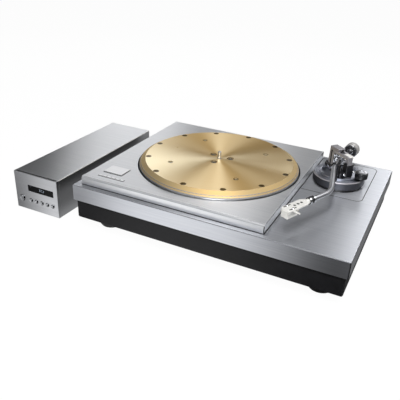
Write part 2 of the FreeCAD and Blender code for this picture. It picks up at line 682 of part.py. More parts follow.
def make_base():
    body = body_of("plinth_base")
    plan = sketch_on(body, "base_plan", height="foot_height")
    rectangle(plan, "plinth_left + base_inset", "plinth_front + base_inset",
              "plinth_length - 2 * base_inset", "plinth_depth - 2 * base_inset")
    pad(body, plan, "base_height")
    bottom = value("foot_height")
    soften(body, "Fillet", "base_rounding", "base_round",
           lambda edge: upright(edge) or level_at(edge, bottom))
    depth = "base_height - base_floor"
    motor = circle(sketch_on(body, "motor_cavity", height="slab_bottom"),
                   "spindle_x", "spindle_y", "slab_hole_radius")
    pocket(body, motor, depth)
    arm = circle(sketch_on(body, "arm_cavity", height="slab_bottom"),
                 "pivot_x", "pivot_y", "arm_cavity_radius")
    pocket(body, arm, depth)
    way = rectangle(sketch_on(body, "cable_channel", height="slab_bottom"),
                    "spindle_x", "pivot_y - cable_way / 2", "pivot_x - spindle_x", "cable_way")
    pocket(body, way, depth)
    window = rectangle(sketch_on(body, "socket_window", height="slab_bottom"),
                       "spindle_x - socket_panel_length / 2", "spindle_y",
                       "socket_panel_length", "plinth_depth / 2 - base_inset - spindle_y")
    pocket(body, window, "slab_bottom - socket_panel_bottom")
    studs = sketch_on(body, "stud_holes", height="foot_height + foot_stud_reach + thrust_gap")
    for x, y in foot_spots.values():
        circle(studs, x, y, "foot_stud_radius + seat_play")
    pocket(body, studs, "foot_stud_reach + thrust_gap")


foot_left = "plinth_left + foot_inset_x"
foot_right = "plinth_left + plinth_length - foot_inset_x"
foot_front = "plinth_front + foot_inset_y"
foot_rear = "-plinth_front - foot_inset_y"
foot_spots = {
    "foot_front_left": (foot_left, foot_front),
    "foot_front_right": (foot_right, foot_front),
    "foot_rear_left": (foot_left, foot_rear),
    "foot_rear_right": (foot_right, foot_rear),
}


def make_foot(label, x, y):
    top = "foot_height - layer_gap"
    turned(label, [
        ("0", "0"),
        ("foot_radius - foot_edge", "0"),
        ("foot_radius", "foot_edge"),
        ("foot_radius", f"{top} - foot_edge"),
        ("foot_radius - foot_edge", top),
        ("foot_stud_radius", top),
        ("foot_stud_radius", "foot_height + foot_stud_reach"),
        ("0", "foot_height + foot_stud_reach"),
    ], x, y)


def make_armboard():
    body = body_of("armboard")
    plan = sketch_on(body, "armboard_plan", height="slab_top - armboard_thickness")
    rectangle(plan, "armboard_left", "armboard_front", "armboard_length", "armboard_depth")
    pad(body, plan, "armboard_thickness")
    right = value("armboard_left + armboard_length")
    soften(body, "Fillet", "armboard_corners", "armboard_corner",
           lambda edge: upright(edge) and near(edge, x=right))
    hole = circle(sketch_on(body, "pillar_hole", height="slab_top"),
                  "pivot_x", "pivot_y", "pillar_radius + seat_play")
    pocket(body, hole, "armboard_thickness")


def make_sockets():
    """Rear panel with two arm output sockets, an earth post and the link to the control unit."""
    rear = "socket_panel_front + socket_panel_thickness"
    middle_z = "socket_panel_bottom + socket_panel_height / 2"
    left = "spindle_x - socket_panel_length / 2"
    panel = block("panel_plate", left, "socket_panel_front", "socket_panel_bottom",
                  "socket_panel_length", "socket_panel_thickness", "socket_panel_height")
    deep = "socket_panel_thickness + socket_rise"
    shells = []
    holes = []
    for name, inset, radius, bore in (
            ("phono_left", "phono_left_inset", "socket_radius", "socket_bore"),
            ("phono_right", "phono_right_inset", "socket_radius", "socket_bore"),
            ("earth_post", "earth_inset", "earth_radius", "earth_bore"),
            ("link_socket", "link_inset", "link_socket_radius", "link_socket_bore")):
        x = f"{left} + {inset}"
        shells.append(rod(f"{name}_shell", x, "socket_panel_front", middle_z, radius, deep, "Y"))
        holes.append(rod(f"{name}_hole", x, f"{rear} - socket_sink", middle_z, bore, deep, "Y"))
    finish(cut("socket_panel", fuse("panel_with_shells", panel, *shells), *holes), "socket_panel")


# Drive unit: casing, front plate and keys

def make_unit_case():
    body = body_of("unit_case")
    plan = sketch_on(body, "case_plan", height="unit_bottom")
    rectangle(plan, "unit_left", "unit_front + front_plate_thickness",
              "unit_length", "unit_depth - front_plate_thickness")
    pad(body, plan, "unit_height")
    top = value("unit_top")
    front = value("unit_front + front_plate_thickness")
    soften(body, "Fillet", "case_rounding", "unit_edge",
           lambda edge: level_at(edge, top) and not near(edge, y=front))
    step = sketch_on(body, "case_step", height="slab_top")
    rectangle(step, "unit_left + unit_foot_inset",
              "unit_front + front_plate_thickness + unit_foot_inset",
              "unit_length - 2 * unit_foot_inset",
              "unit_depth - front_plate_thickness - 2 * unit_foot_inset")
    pad(body, step, "unit_foot_gap")
    drum = circle(sketch_on(body, "well_drum", height="well_floor_bottom"),
                  "spindle_x", "spindle_y", "well_radius")
    pad(body, drum, "unit_bottom - well_floor_bottom")
    well = circle(sketch_on(body, "platter_recess", height="unit_top"),
                  "spindle_x", "spindle_y", "recess_radius")
    pocket(body, well, "unit_top - well_floor_top")
    bearing = circle(sketch_on(body, "bearing_hole", height="well_floor_top"),
                     "spindle_x", "spindle_y", "bearing_radius + seat_play")
    pocket(body, bearing, "well_floor")
    start = rectangle(sketch_on(body, "start_key_pocket", height="unit_top"),
                      "start_key_left - key_gap", "start_key_front - key_gap",
                      "start_key_length + 2 * key_gap", "start_key_depth + 2 * key_gap")
    pocket(body, start, "start_key_thickness - start_key_rise + key_travel + key_spare")
    speeds = rectangle(sketch_on(body, "speed_key_slot", height="unit_top"),
                       "speed_key_left - key_gap", "speed_key_front - key_gap",
                       "2 * speed_key_pitch + speed_key_length + 2 * key_gap",
                       "speed_key_depth + 2 * key_gap")
    pocket(body, speeds, "speed_key_thickness - speed_key_rise + key_travel + key_spare")


places["start_key_left"] = "unit_left + start_key_inset_x"
places["start_key_front"] = "unit_front + start_key_inset_y"
places["speed_key_left"] = "unit_left + speed_key_inset_x"
places["speed_key_front"] = "unit_front + speed_key_inset_y"


def make_front_plate():
    body = body_of("unit_front_plate")
    plan = sketch_on(body, "front_plate_plan", height="unit_bottom")
    rectangle(plan, "unit_left", "unit_front", "unit_length", "front_plate_thickness")
    pad(body, plan, "unit_height")
    top = value("unit_top")
    front = value("unit_front")
    soften(body, "Fillet", "front_plate_rounding", "front_plate_round",
           lambda edge: level_at(edge, top) and near(edge, y=front))


def make_key(label, left, front, length, depth, thickness, rise):
    finish(block(label, left, front, f"unit_top + {rise} - {thickness}",
                 length, depth, thickness), label)


def make_keys():
    make_key("start_stop_key", "start_key_left", "start_key_front",
             "start_key_length", "start_key_depth", "start_key_thickness", "start_key_rise")
    for number in range(3):
        make_key(f"speed_key_{number + 1}", f"speed_key_left + {number} * speed_key_pitch",
                 "speed_key_front", "speed_key_length", "speed_key_depth",
                 "speed_key_thickness", "speed_key_rise")


# Motor: bearing, stator and rotor

def make_bearing():
    turned("bearing_housing", [
        ("0", "bearing_bottom"),
        ("bearing_radius", "bearing_bottom"),
        ("bearing_radius", "well_floor_top"),
        ("bearing_flange_radius", "well_floor_top"),
        ("bearing_flange_radius", "flange_top"),
        ("bush_radius", "flange_top"),
        ("bush_radius", "bearing_bottom + bearing_end"),
        ("0", "bearing_bottom + bearing_end"),
    ], "spindle_x", "spindle_y")
    finish(tube("bearing_bush", "spindle_x", "spindle_y", "flange_top - bush_length",
                "bush_radius", "shaft_radius + shaft_play", "bush_length"), "bearing_bush")


def make_stator():
    finish(tube("stator_board", "spindle_x", "spindle_y", "flange_top",
                "board_outer", "board_inner", "board_thickness"), "stator_board")

    def coil(name, x, y):
        return tube(name, x, y, "board_top", "coil_radius", "coil_hole", "coil_height")

    coils = around("coil", coil_count, "spindle_x", "spindle_y", "coil_circle", "0", coil)
    finish(group("stator_coils", *coils), "stator_coils")


def make_rotor():
    disc = fuse("rotor_blank",
                rod("rotor_plate", "spindle_x", "spindle_y", "rotor_bottom",
                    "rotor_radius", "rotor_thickness"),
                rod("rotor_boss", "spindle_x", "spindle_y", "rotor_top",
                    "rotor_boss_radius", "rotor_boss_height"))
    bore = rod("rotor_bore", "spindle_x", "spindle_y", "rotor_bottom",
               "shaft_radius", "rotor_thickness + rotor_boss_height")

    def thread(name, x, y):
        return rod(name, x, y, "boss_top - rotor_screw_bite",
                   "rotor_screw_radius", "rotor_screw_bite")

    threads = around("rotor_thread", rotor_screw_count, "spindle_x", "spindle_y",
                     "rotor_screw_circle", "rotor_screw_phase", thread)
    finish(cut("rotor_disc", disc, bore, *threads), "rotor_disc")
    finish(tube("rotor_magnets", "spindle_x", "spindle_y", "magnet_bottom",
                "magnet_outer", "magnet_inner", "magnet_height"), "rotor_magnets")


def make_spindle():
    turned("spindle", [
        ("0", "shaft_bottom"),
        ("shaft_radius", "shaft_bottom"),
        ("shaft_radius", "brass_seat"),
        ("spindle_neck", "brass_seat"),
        ("spindle_neck", "platter_top"),
        ("spindle_radius", "platter_top"),
        ("spindle_radius", "spindle_top - spindle_dome"),
        ("spindle_radius - spindle_dome", "spindle_top"),
        ("0", "spindle_top"),
    ], "spindle_x", "spindle_y")


# Platter: aluminium body, brass plate, balance plugs and screws

def bolt_hole(body, name, height, circle_radius, phase, radius, depth, count):
    """Equal round holes on a circle, bored down from a height."""
    hole = circle(sketch_on(body, name, height=height),
                  f"{circle_radius} * cos({phase})", f"{circle_radius} * sin({phase})", radius)
    polar(body, pocket(body, hole, depth), count)


def make_platter_body():
    body = turned("platter_body", [
        ("shaft_radius", "boss_top"),
        ("rotor_boss_radius", "boss_top"),
        ("rotor_boss_radius", "web_bottom"),
        ("platter_radius - rim_width", "web_bottom"),
        ("platter_radius - rim_width", "web_bottom - rim_depth"),
        ("platter_radius", "web_bottom - rim_depth"),
        ("platter_radius", "brass_seat - rim_shoulder"),
        ("brass_radius + 2 * brass_joint", "brass_seat + rim_rise"),
        ("brass_radius + brass_joint", "brass_seat + rim_rise"),
        ("brass_radius + brass_joint", "brass_seat"),
        ("shaft_radius", "brass_seat"),
    ], "spindle_x", "spindle_y")
    bolt_hole(body, "rotor_screw_holes", "brass_seat", "rotor_screw_circle", "rotor_screw_phase",
              "rotor_screw_radius", "brass_seat - boss_top", rotor_screw_count)
    bolt_hole(body, "plate_screw_threads", "brass_seat", "plate_screw_circle",
              "plate_screw_phase", "plate_screw_radius", "web_thickness", plate_screw_count)


def make_brass_plate():
    body = turned("brass_plate", [
        ("spindle_neck", "brass_seat"),
        ("brass_radius", "brass_seat"),
        ("brass_radius", "platter_top - brass_edge"),
        ("brass_top_radius", "platter_top"),
        ("spindle_neck", "platter_top"),
    ], "spindle_x", "spindle_y")
    bolt_hole(body, "plug_holes", "platter_top", "plug_circle", "plug_phase",
              "plug_radius", "plug_depth", plug_count)
    bolt_hole(body, "plate_screw_wells", "platter_top", "plate_screw_circle",
              "plate_screw_phase", "plate_screw_head + screw_play",
              "plate_screw_sink + plate_screw_head_height", plate_screw_count)
    bolt_hole(body, "plate_screw_holes", "platter_top", "plate_screw_circle",
              "plate_screw_phase", "plate_screw_radius", "brass_thickness", plate_screw_count)
    bolt_hole(body, "lifting_holes", "platter_top", "dimple_circle", "dimple_phase",
              "dimple_radius", "dimple_depth", 2)
    bolt_hole(body, "rotor_screw_wells", "platter_top", "rotor_screw_circle",
              "rotor_screw_phase", "rotor_screw_well",
              "rotor_screw_sink + rotor_screw_head_height", rotor_screw_count)
    bolt_hole(body, "rotor_screw_ways", "platter_top", "rotor_screw_circle",
              "rotor_screw_phase", "rotor_screw_radius", "brass_thickness", rotor_screw_count)


def make_platter_fittings():
    def plug(name, x, y):
        return rod(name, x, y, "platter_top - plug_depth", "plug_radius",
                   "plug_depth - plug_sink")

    plugs = around("plug", plug_count, "spindle_x", "spindle_y", "plug_circle", "plug_phase", plug)
    finish(group("platter_weights", *plugs), "platter_weights")

    def plate_screw(name, x, y):
        head_bottom = "platter_top - plate_screw_sink - plate_screw_head_height"
        head = rod(f"{name}_head", x, y, head_bottom, "plate_screw_head",
                   "plate_screw_head_height")
        shank = rod(f"{name}_shank", x, y, "web_bottom", "plate_screw_radius",
                    f"{head_bottom} - web_bottom")
        return fuse(name, head, shank)

    screws = around("plate_screw", plate_screw_count, "spindle_x", "spindle_y",
                    "plate_screw_circle", "plate_screw_phase", plate_screw)
    finish(group("plate_screws", *screws), "plate_screws")

    def rotor_screw(name, x, y):
        head_bottom = "platter_top - rotor_screw_sink - rotor_screw_head_height"
        head = rod(f"{name}_head", x, y, head_bottom, "rotor_screw_head",
                   "rotor_screw_head_height")
        shank = rod(f"{name}_shank", x, y, "boss_top - rotor_screw_bite",
                    "rotor_screw_radius", f"{head_bottom} - (boss_top - rotor_screw_bite)")
        return fuse(name, head, shank)

    screws = around("rotor_screw", rotor_screw_count, "spindle_x", "spindle_y",
                    "rotor_screw_circle", "rotor_screw_phase", rotor_screw)
    finish(group("rotor_screws", *screws), "rotor_screws")


# Tonearm: fixed pillar, height ring and base with what stands on it

def make_arm_pillar():
    turned("arm_pillar", [
        ("stem_radius + seat_play", "pillar_bottom"),
        ("pillar_radius", "pillar_bottom"),
        ("pillar_radius", "slab_top"),
        ("pillar_flange_radius", "slab_top"),
        ("pillar_flange_radius", "pillar_top"),
        ("stem_radius + seat_play", "pillar_top"),
    ], "pivot_x", "pivot_y")
    finish(tube("height_ring", "pivot_x", "pivot_y", "height_ring_bottom", "height_ring_radius",
                "stem_radius + layer_gap", "height_ring_height"), "height_ring")


def at_pivot(thing, turn="0"):
    """Turn a piece that was made about the origin, and stand it at the arm pivot."""
    return place(thing, "pivot_x", "pivot_y", "0", turn)


def make_arm_base():
    body = turned("arm_base", [
        ("0", "arm_base_bottom - stem_length"),
        ("stem_radius", "arm_base_bottom - stem_length"),
        ("stem_radius", "arm_base_bottom"),
        ("arm_base_radius", "arm_base_bottom"),
        ("arm_base_radius", "disc_top - arm_base_edge"),
        ("arm_base_radius - arm_base_edge", "disc_top"),
        ("arm_step_outer", "disc_top"),
        ("arm_step_outer", "disc_top + arm_step_height"),
        ("arm_step_inner", "disc_top + arm_step_height"),
        ("arm_step_inner", "disc_top"),
        ("0", "disc_top"),
    ], "pivot_x", "pivot_y")
    stem = circle(sketch_on(body, "gimbal_socket", height="disc_top"),
                  "0", "0", "gimbal_stem_radius + bearing_play")
    pocket(body, stem, "gimbal_stem_reach + point_gap")
    dial = circle(sketch_on(body, "dial_socket", height="disc_top + arm_step_height"),
                  "skate_offset_x", "-skate_offset_y", "skate_shaft_radius + seat_play")
    pocket(body, dial, "arm_step_height + skate_shaft_reach + point_gap")


def make_bridge():
    """An arch over the gimbal, its bar stepped down round the top bearing."""
    body = body_of("bridge")
    profile = outline(sketch_on(body, "bridge_profile", "XZ_Plane", "-bridge_back"), [
        ("-bridge_left_foot", "disc_top"),
        ("-bridge_open_left", "disc_top"),
        ("-bridge_open_left", "bar_bottom"),
        ("bridge_open_right", "bar_bottom"),
        ("bridge_open_right", "disc_top"),
        ("bridge_right", "disc_top"),
        ("bridge_right", "bridge_low"),
        ("-bridge_step_left", "bridge_low"),
        ("-bridge_step_left", "bridge_top"),
        ("-bridge_left", "bridge_top"),
    ])
    pad(body, profile, "bridge_depth")
    right = value("bridge_right")
    back = value("bridge_back")
    soften(body, "Chamfer", "bridge_rear_corner", "bridge_corner",
           lambda edge: upright(edge) and near(edge, x=right, y=back))
    top = value("bridge_top")
    low = value("bridge_low")
    step = -value("bridge_step_left")
    soften(body, "Chamfer", "bridge_bevel", "bridge_edge",
           lambda edge: level_at(edge, top) or level_at(edge, low) and not near(edge, x=step))
    hole = circle(sketch_on(body, "top_screw_hole", height="bridge_low"),
                  "0", "0", "top_screw_radius")
    pocket(body, hole, "bridge_bar - bridge_step")
    at_pivot(body, "-bridge_turn")
    turned("bridge_screw", [
        ("0", "gimbal_top - point_reach"),
        ("point_radius", "gimbal_top - point_reach"),
        ("point_radius", "bar_bottom"),
        ("top_screw_radius", "bar_bottom"),
        ("top_screw_radius", "bridge_low"),
        ("top_cap_radius", "bridge_low"),
        ("top_cap_radius", "bridge_low + top_cap_height / 2"),
        ("top_cap_neck", "bridge_low + top_cap_height"),
        ("top_cap_neck", "bridge_low + top_cap_rise"),
        ("0", "bridge_low + top_cap_rise"),
    ], "pivot_x", "pivot_y")


def make_gimbal():
    frame = middle_block("gimbal_block", "0", "0", "gimbal_bottom",
                         "gimbal_width", "gimbal_depth", "gimbal_top - gimbal_bottom")
    stem = rod("gimbal_stem", "0", "0", "disc_top - gimbal_stem_reach", "gimbal_stem_radius",
               "gimbal_bottom - disc_top + gimbal_stem_reach")
    window = middle_block("gimbal_window", "0", "0", "arm_axis - gimbal_window_half",
                          "gimbal_window_width", "gimbal_depth", "2 * gimbal_window_half")
    point = rod("gimbal_point_seat", "0", "0", "gimbal_top - point_reach - bearing_play",
                "point_radius + bearing_play", "point_reach + bearing_play")
    pins = rod("gimbal_pin_seats", "-trunnion_reach - point_gap", "0", "arm_axis",
               "trunnion_radius + bearing_play", "2 * (trunnion_reach + point_gap)", "X")
    blank = fuse("gimbal_blank", frame, stem)
    finish(at_pivot(cut("gimbal_frame", blank, window, point, pins), "-arm_turn"),
           "gimbal_frame")


def make_arm_hub():
    barrel = rod("hub_barrel", "0", "-hub_half", "arm_axis", "hub_radius", "2 * hub_half", "Y")
    pins = rod("hub_pins", "-trunnion_reach", "0", "arm_axis", "trunnion_radius",
               "2 * trunnion_reach", "X")
    finish(at_pivot(fuse("arm_hub", barrel, pins), "-arm_turn"), "arm_hub")
    shaft = rod("shaft_rod", "0", "hub_half", "arm_axis", "weight_shaft_radius",
                "weight_shaft_end - hub_half", "Y")
    finish(at_pivot(group("weight_shaft", shaft), "-arm_turn"), "weight_shaft")


def heading(lean):
    """The level direction turned from straight ahead by a number of degrees, to the left."""
    return Vector(-sin(radians(lean)), -cos(radians(lean)), 0)


def make_arm_tube():
    """The bent tube: three straight runs with a round bend between each two."""
    leans = [value("arm_turn"), -value("tube_lean_2"), value("tube_lean_3")]
    runs = [value("tube_run_1"), value("tube_run_2"), value("tube_run_3")]
    bends = [value("tube_bend_1"), value("tube_bend_2")]
    ways = [heading(lean) for lean in leans]
    level = value("arm_axis")
    spot = Vector(value("pivot_x"), value("pivot_y"), level)
    corners = [spot + ways[0] * value("hub_half")]
    for way, run in zip(ways, runs):
        spot = spot + way * run
        corners.append(spot)
    path = []
    start = corners[0]
    for number, bend in enumerate(bends):
        corner = corners[number + 1]
        turn = ways[number].getAngle(ways[number + 1])
        cut_back = bend * tan(turn / 2)
        enter = corner - ways[number] * cut_back
        leave = corner + ways[number + 1] * cut_back
        inward = (ways[number + 1] - ways[number]).normalize()
        middle = corner + inward * (bend / cos(turn / 2) - bend)
        path.append(Part.LineSegment(start, enter).toShape())
        path.append(Part.Arc(enter, middle, leave).toShape())
        start = leave
    path.append(Part.LineSegment(start, corners[-1]).toShape())
    wire = Part.Wire(path)
    outer = value("tube_radius")
    skins = []
    for radius in (outer, outer - value("tube_wall")):
        ring = Part.Wire([Part.Circle(corners[0], ways[0], radius).toShape()])
        skins.append(wire.makePipeShell([ring], True, False))
    thing = finish(add("Part::Feature", "arm_tube"), "arm_tube")
    thing.Shape = skins[0].cut(skins[1])
    section = pi * (outer ** 2 - (outer - value("tube_wall")) ** 2)
    print("arm tube volume", round(thing.Shape.Volume),
          "from section and length", round(section * wire.Length))


# Tonearm: collar, headshell, cartridge and counterweight

def at_collar(thing):
    """Turn a piece made about the origin, front towards -Y, and put it on the tube's end."""
    return place(thing, "collar_x", "collar_y", "0", "-tube_lean_3")


def make_collar():
    ring = tube("collar_ring", "0", "-collar_length / 2", "arm_axis", "collar_radius",
                "tube_radius + seat_play", "collar_length", "Y")
    finish(at_collar(group("tube_collar", ring)), "tube_collar")


def make_headshell():
    plug = rod("shell_plug", "0", "-shell_neck", "arm_axis", "tube_radius", "shell_neck", "Y")
    plate = block("shell_plate", "-shell_width / 2", "-shell_front", "shell_bottom",
                  "shell_width", "shell_front - shell_neck", "shell_thickness")
    neck = middle_block("shell_root", "0", "-shell_neck - tube_radius", "arm_axis - tube_radius",
                        "2 * tube_radius", "2 * tube_radius", "shell_top - arm_axis + tube_radius")
    finger = block("finger_lift", "shell_width / 2",
                   "-stylus_from_collar + finger_width / 2", "shell_top - finger_thickness",
                   "finger_reach", "finger_width", "finger_thickness")
    finish(at_collar(fuse("headshell", plug, plate, neck, finger)), "headshell")
    cartridge = block("cartridge_block", "-cartridge_width / 2", "-cartridge_front",
                      "cartridge_bottom", "cartridge_width", "cartridge_length",
                      "cartridge_height")
    finish(at_collar(group("cartridge", cartridge)), "cartridge")
    carrier = block("stylus_carrier", "-stylus_carrier_width / 2",
                    "-stylus_from_collar - stylus_radius",
                    "cartridge_bottom - stylus_carrier_height", "stylus_carrier_width",
                    "stylus_arm", "stylus_carrier_height")
    point = rod("stylus_point", "0", "-stylus_from_collar", "stylus_tip", "stylus_radius",
                "cartridge_bottom - stylus_tip")
    finish(at_collar(fuse("stylus", carrier, point)), "stylus")


def make_counterweight():
    bore = "weight_shaft_radius + seat_play"
    dial = tube("dial_ring", "0", "weight_near", "arm_axis", "dial_radius", bore,
                "dial_length", "Y")
    finish(at_pivot(group("weight_dial", dial), "-arm_turn"), "weight_dial")
    weight = tube("weight_ring", "0", "weight_near + dial_length + layer_gap", "arm_axis",
                  "weight_radius", bore, "weight_length - dial_length - layer_gap", "Y")
    finish(at_pivot(group("counterweight", weight), "-arm_turn"), "counterweight")


def make_skate_dial():
    turned("anti_skate_knob", [
        ("0", "disc_top - skate_shaft_reach"),
        ("skate_shaft_radius", "disc_top - skate_shaft_reach"),
        ("skate_shaft_radius", "skate_bottom"),
        ("skate_radius", "skate_bottom"),
        ("skate_radius", "skate_bottom + skate_height - arm_base_edge"),
        ("skate_radius - arm_base_edge", "skate_bottom + skate_height"),
        ("0", "skate_bottom + skate_height"),
    ], "pivot_x + skate_offset_x", "pivot_y - skate_offset_y")


# Tonearm: lifter, cue lever, arm rest and its clip

def make_lifter():
    """Housing and bar are made straight ahead of the pivot and turned to the right."""
    ahead = "-lifter_circle"
    housing = rod("lifter_block", "0", ahead, "disc_top", "lifter_housing_radius",
                  "lifter_housing_height")
    post_hole = rod("lifter_bore", "0", ahead,
                    "lifter_post_bottom - lifter_travel - point_gap",
                    "lifter_post_radius + seat_play",
                    "lifter_post_reach + lifter_travel + point_gap")
    lever_hole = rod("lever_bore", "0", "-lifter_circle", "disc_top + lever_height",
                     "lever_axle_radius + seat_play", "lifter_housing_radius", "X")
    finish(at_pivot(cut("lifter_housing", housing, post_hole, lever_hole), "lifter_turn"),
           "lifter_housing")
    post = rod("lifter_post", "0", ahead, "lifter_post_bottom", "lifter_post_radius",
               "lifter_bar_bottom - lifter_post_bottom")
    outer = rod("bar_outer", "0", "0", "lifter_bar_bottom",
                "lifter_circle + lifter_bar_width / 2", "lifter_bar_height")
    inner = rod("bar_inner", "0", "0", "lifter_bar_bottom",
                "lifter_circle - lifter_bar_width / 2", "lifter_bar_height")
    for disc in (outer, inner):
        disc.Placement = Placement(Vector(), Rotation(Vector(0, 0, 1), -90))
        bind(disc, Angle="lifter_bar_sweep + lifter_bar_lead",
             Placement__Base__z="lifter_bar_bottom",
             Placement__Rotation__Angle="90 + lifter_bar_sweep")
    bar = cut("lifter_arc", outer, inner)
    finish(at_pivot(fuse("lifter_bar", bar, post), "lifter_turn"), "lifter_bar")


def make_cue_lever():
    x = "lifter_housing_radius"
    z = "disc_top + lever_height"
    axle = rod("lever_axle", "lever_axle_start", "-lifter_circle", z, "lever_axle_radius",
               f"{x} - lever_axle_start + lever_hub_length", "X")
    hub = rod("lever_hub", f"{x} + layer_gap", "-lifter_circle", z, "lever_hub_radius",
              "lever_hub_length", "X")
    handle = bind(add("Part::Cylinder", "lever_handle"), Radius="lever_radius",
                  Height="lever_length")
    handle.Placement = Placement(Vector(), Rotation(Vector(1, 0, 0), 80))
    bind(handle, Placement__Rotation__Angle="90 - lever_rise")
    place(handle, f"{x} + layer_gap + lever_hub_length / 2", "-lifter_circle", z)
    finish(at_pivot(fuse("cue_lever", axle, hub, handle), "lifter_turn"), "cue_lever")


def make_arm_rest():
    """A column with a low left lip and a tall right prong that carries the clip."""
    front = "-rest_circle - rest_depth / 2"
    column = block("rest_column_block", "rest_slot_half + rest_prong - rest_column", front,
                   "disc_top", "rest_column", "rest_depth", "tube_underside - rest_gap - disc_top")
    shelf = block("rest_shelf", "-rest_slot_half", front,
                  "tube_underside - rest_gap - rest_prong",
                  "2 * rest_slot_half + rest_prong", "rest_depth", "rest_prong")
    prong = block("rest_tall_prong", "rest_slot_half", front, "tube_underside - rest_gap",
                  "rest_prong", "rest_depth", "rest_prong_top - tube_underside + rest_gap")
    gap = block("clip_slot", "rest_slot_half", "-rest_circle - rest_depth / 4 - layer_gap",
                "clip_pin_z - clip_height", "rest_prong", "rest_depth / 2 + 2 * layer_gap",
                "rest_prong_top - clip_pin_z + clip_height")
    hole = rod("clip_pin_hole", "clip_pin_x", front, "clip_pin_z",
               "clip_pin_radius + seat_play", "rest_depth", "Y")
    whole = fuse("rest_blank", column, shelf, prong)
    finish(at_pivot(cut("arm_rest", whole, gap, hole), "-arm_turn"), "arm_rest")


def make_arm_clip():
    """The clip stands open; it swings down over the tube about its pin."""
    pin = rod("clip_pin", "0", "-rest_depth / 2", "0", "clip_pin_radius", "rest_depth", "Y")
    arm = block("clip_arm", "-clip_height / 2", "-rest_depth / 4", "-clip_height / 2",
                "clip_height", "rest_depth / 2", "clip_length")
    clip = fuse("clip_whole", pin, arm)
    clip.Placement = Placement(Vector(), Rotation(Vector(0, 1, 0), 1))
    place(clip, "clip_pin_x", "-rest_circle", "clip_pin_z", "clip_tilt")
    finish(at_pivot(group("arm_clip", clip), "-arm_turn"), "arm_clip")


# Control unit: cover, panels, display and buttons

def make_control_case():
    shell = block("case_outside", "control_left", "case_front", "case_bottom", "control_width",
                  "case_rear - case_front", "control_height - case_bottom")
    inside = block("case_inside", "control_left + cover_wall", "case_front", "case_floor",
                   "case_inner_width", "case_rear - case_front", "case_inner_height")
    finish(cut("control_case", shell, inside), "control_case")


button_spots = {"power_button": ("control_left + power_button_left", "power_button_radius")}
for button_number in range(5):
    button_x = f"control_left + button_left + {button_number} * button_pitch"
    button_spots[f"button_{button_number + 1}"] = (button_x, "button_radius")


def make_front_panel():
    body = body_of("control_front")
    front = sketch_on(body, "panel_face", "XZ_Plane", "-case_front")
    rectangle(front, "control_left", "case_bottom", "control_width",
              "control_height - case_bottom")
    pad(body, front, "panel_thickness")
    face = value("control_front_y")
    soften(body, "Chamfer", "panel_bevel", "panel_edge",
           lambda edge: near(edge, y=face) and edge.BoundBox.YLength < 1e-4)
    window = sketch_on(body, "window_hole", "XZ_Plane", "-case_front")
    rectangle(window, "control_left + window_left", "window_bottom", "window_length",
              "window_height")
    pocket(body, window, "panel_thickness").Reversed = True
    holes = sketch_on(body, "button_holes", "XZ_Plane", "-case_front")
    for x, radius in button_spots.values():
        circle(holes, x, "button_height", f"{radius} + button_gap")
    pocket(body, holes, "panel_thickness").Reversed = True
    pane_y = "control_front_y + window_sink"
    pane = block("window_pane", "control_left + window_left", pane_y, "window_bottom",
                 "window_length", "window_thickness", "window_height")
    finish(group("display_window", pane), "display_window")


def make_button(label, x, radius):
    front = "control_front_y - button_rise"
    cap = rod(f"{label}_cap", x, front, "button_height", radius,
              "button_rise + panel_thickness + button_slack", "Y")
    rim = rod(f"{label}_rim", x, "case_front + button_slack", "button_height",
              f"{radius} + button_rim", "button_rim_thickness", "Y")
    finish(fuse(label, cap, rim), label)


def make_control_inside():
    left = "control_left + cover_wall"
    board = block("switch_board", left, "switch_board_front", "case_floor", "case_inner_width",
                  "board_thickness", "case_inner_height - switch_board_margin")
    switches = []
    for label, (x, radius) in button_spots.items():
        switches.append(middle_block(f"{label}_switch", x, "switch_face + switch_length / 2",
                                     "button_height - button_radius", "2 * button_radius",
                                     "switch_length", "2 * button_radius"))
    display_y = "control_front_y + window_sink + window_thickness"
    display = block("display_glass", "control_left + window_left", display_y, "window_bottom",
                    "window_length", f"switch_board_front - ({display_y})", "window_height")
    main_y = "switch_board_front + board_thickness"
    main = block("main_board", left, main_y, "case_floor + main_board_rise",
                 "case_inner_width", "main_board_length", "board_thickness")
    finish(fuse("control_board", board, *switches, display, main), "control_board")
    transformer = tube("transformer_ring", "control_left + control_width / 2",
                       "case_rear - transformer_inset", "case_floor", "transformer_radius",
                       "transformer_hole", "transformer_height")
    finish(group("transformer", transformer), "transformer")


def make_control_rear():
    """Rear panel with the mains inlet and the socket for the link to the drive unit."""
    y = "case_rear - rear_thickness"
    plate = block("rear_plate", "control_left + cover_wall", y, "case_floor",
                  "case_inner_width", "rear_thickness", "case_inner_height")
    middle_z = "control_height / 2"
    inlet_x = "control_left + inlet_inset"
    inlet = middle_block("inlet_shell", inlet_x, f"{y} - inlet_depth / 2",
                         f"{middle_z} - inlet_height / 2", "inlet_width", "inlet_depth",
                         "inlet_height")
    inlet_hole = middle_block("inlet_hole", inlet_x, "case_rear - inlet_depth / 2",
                              f"{middle_z} - inlet_height / 2 + cover_wall",
                              "inlet_width - 2 * cover_wall", "inlet_depth",
                              "inlet_height - 2 * cover_wall")
    link_x = "control_left + rear_link_inset"
    link = rod("rear_link_shell", link_x, y, middle_z, "link_socket_radius",
               "rear_thickness + socket_rise", "Y")
    link_hole = rod("rear_link_hole", link_x, f"{y} + rear_thickness / 2", middle_z,
                    "link_socket_bore", "rear_thickness + socket_rise", "Y")
    finish(cut("control_rear", fuse("rear_blank", plate, inlet, link), inlet_hole, link_hole),
           "control_rear")


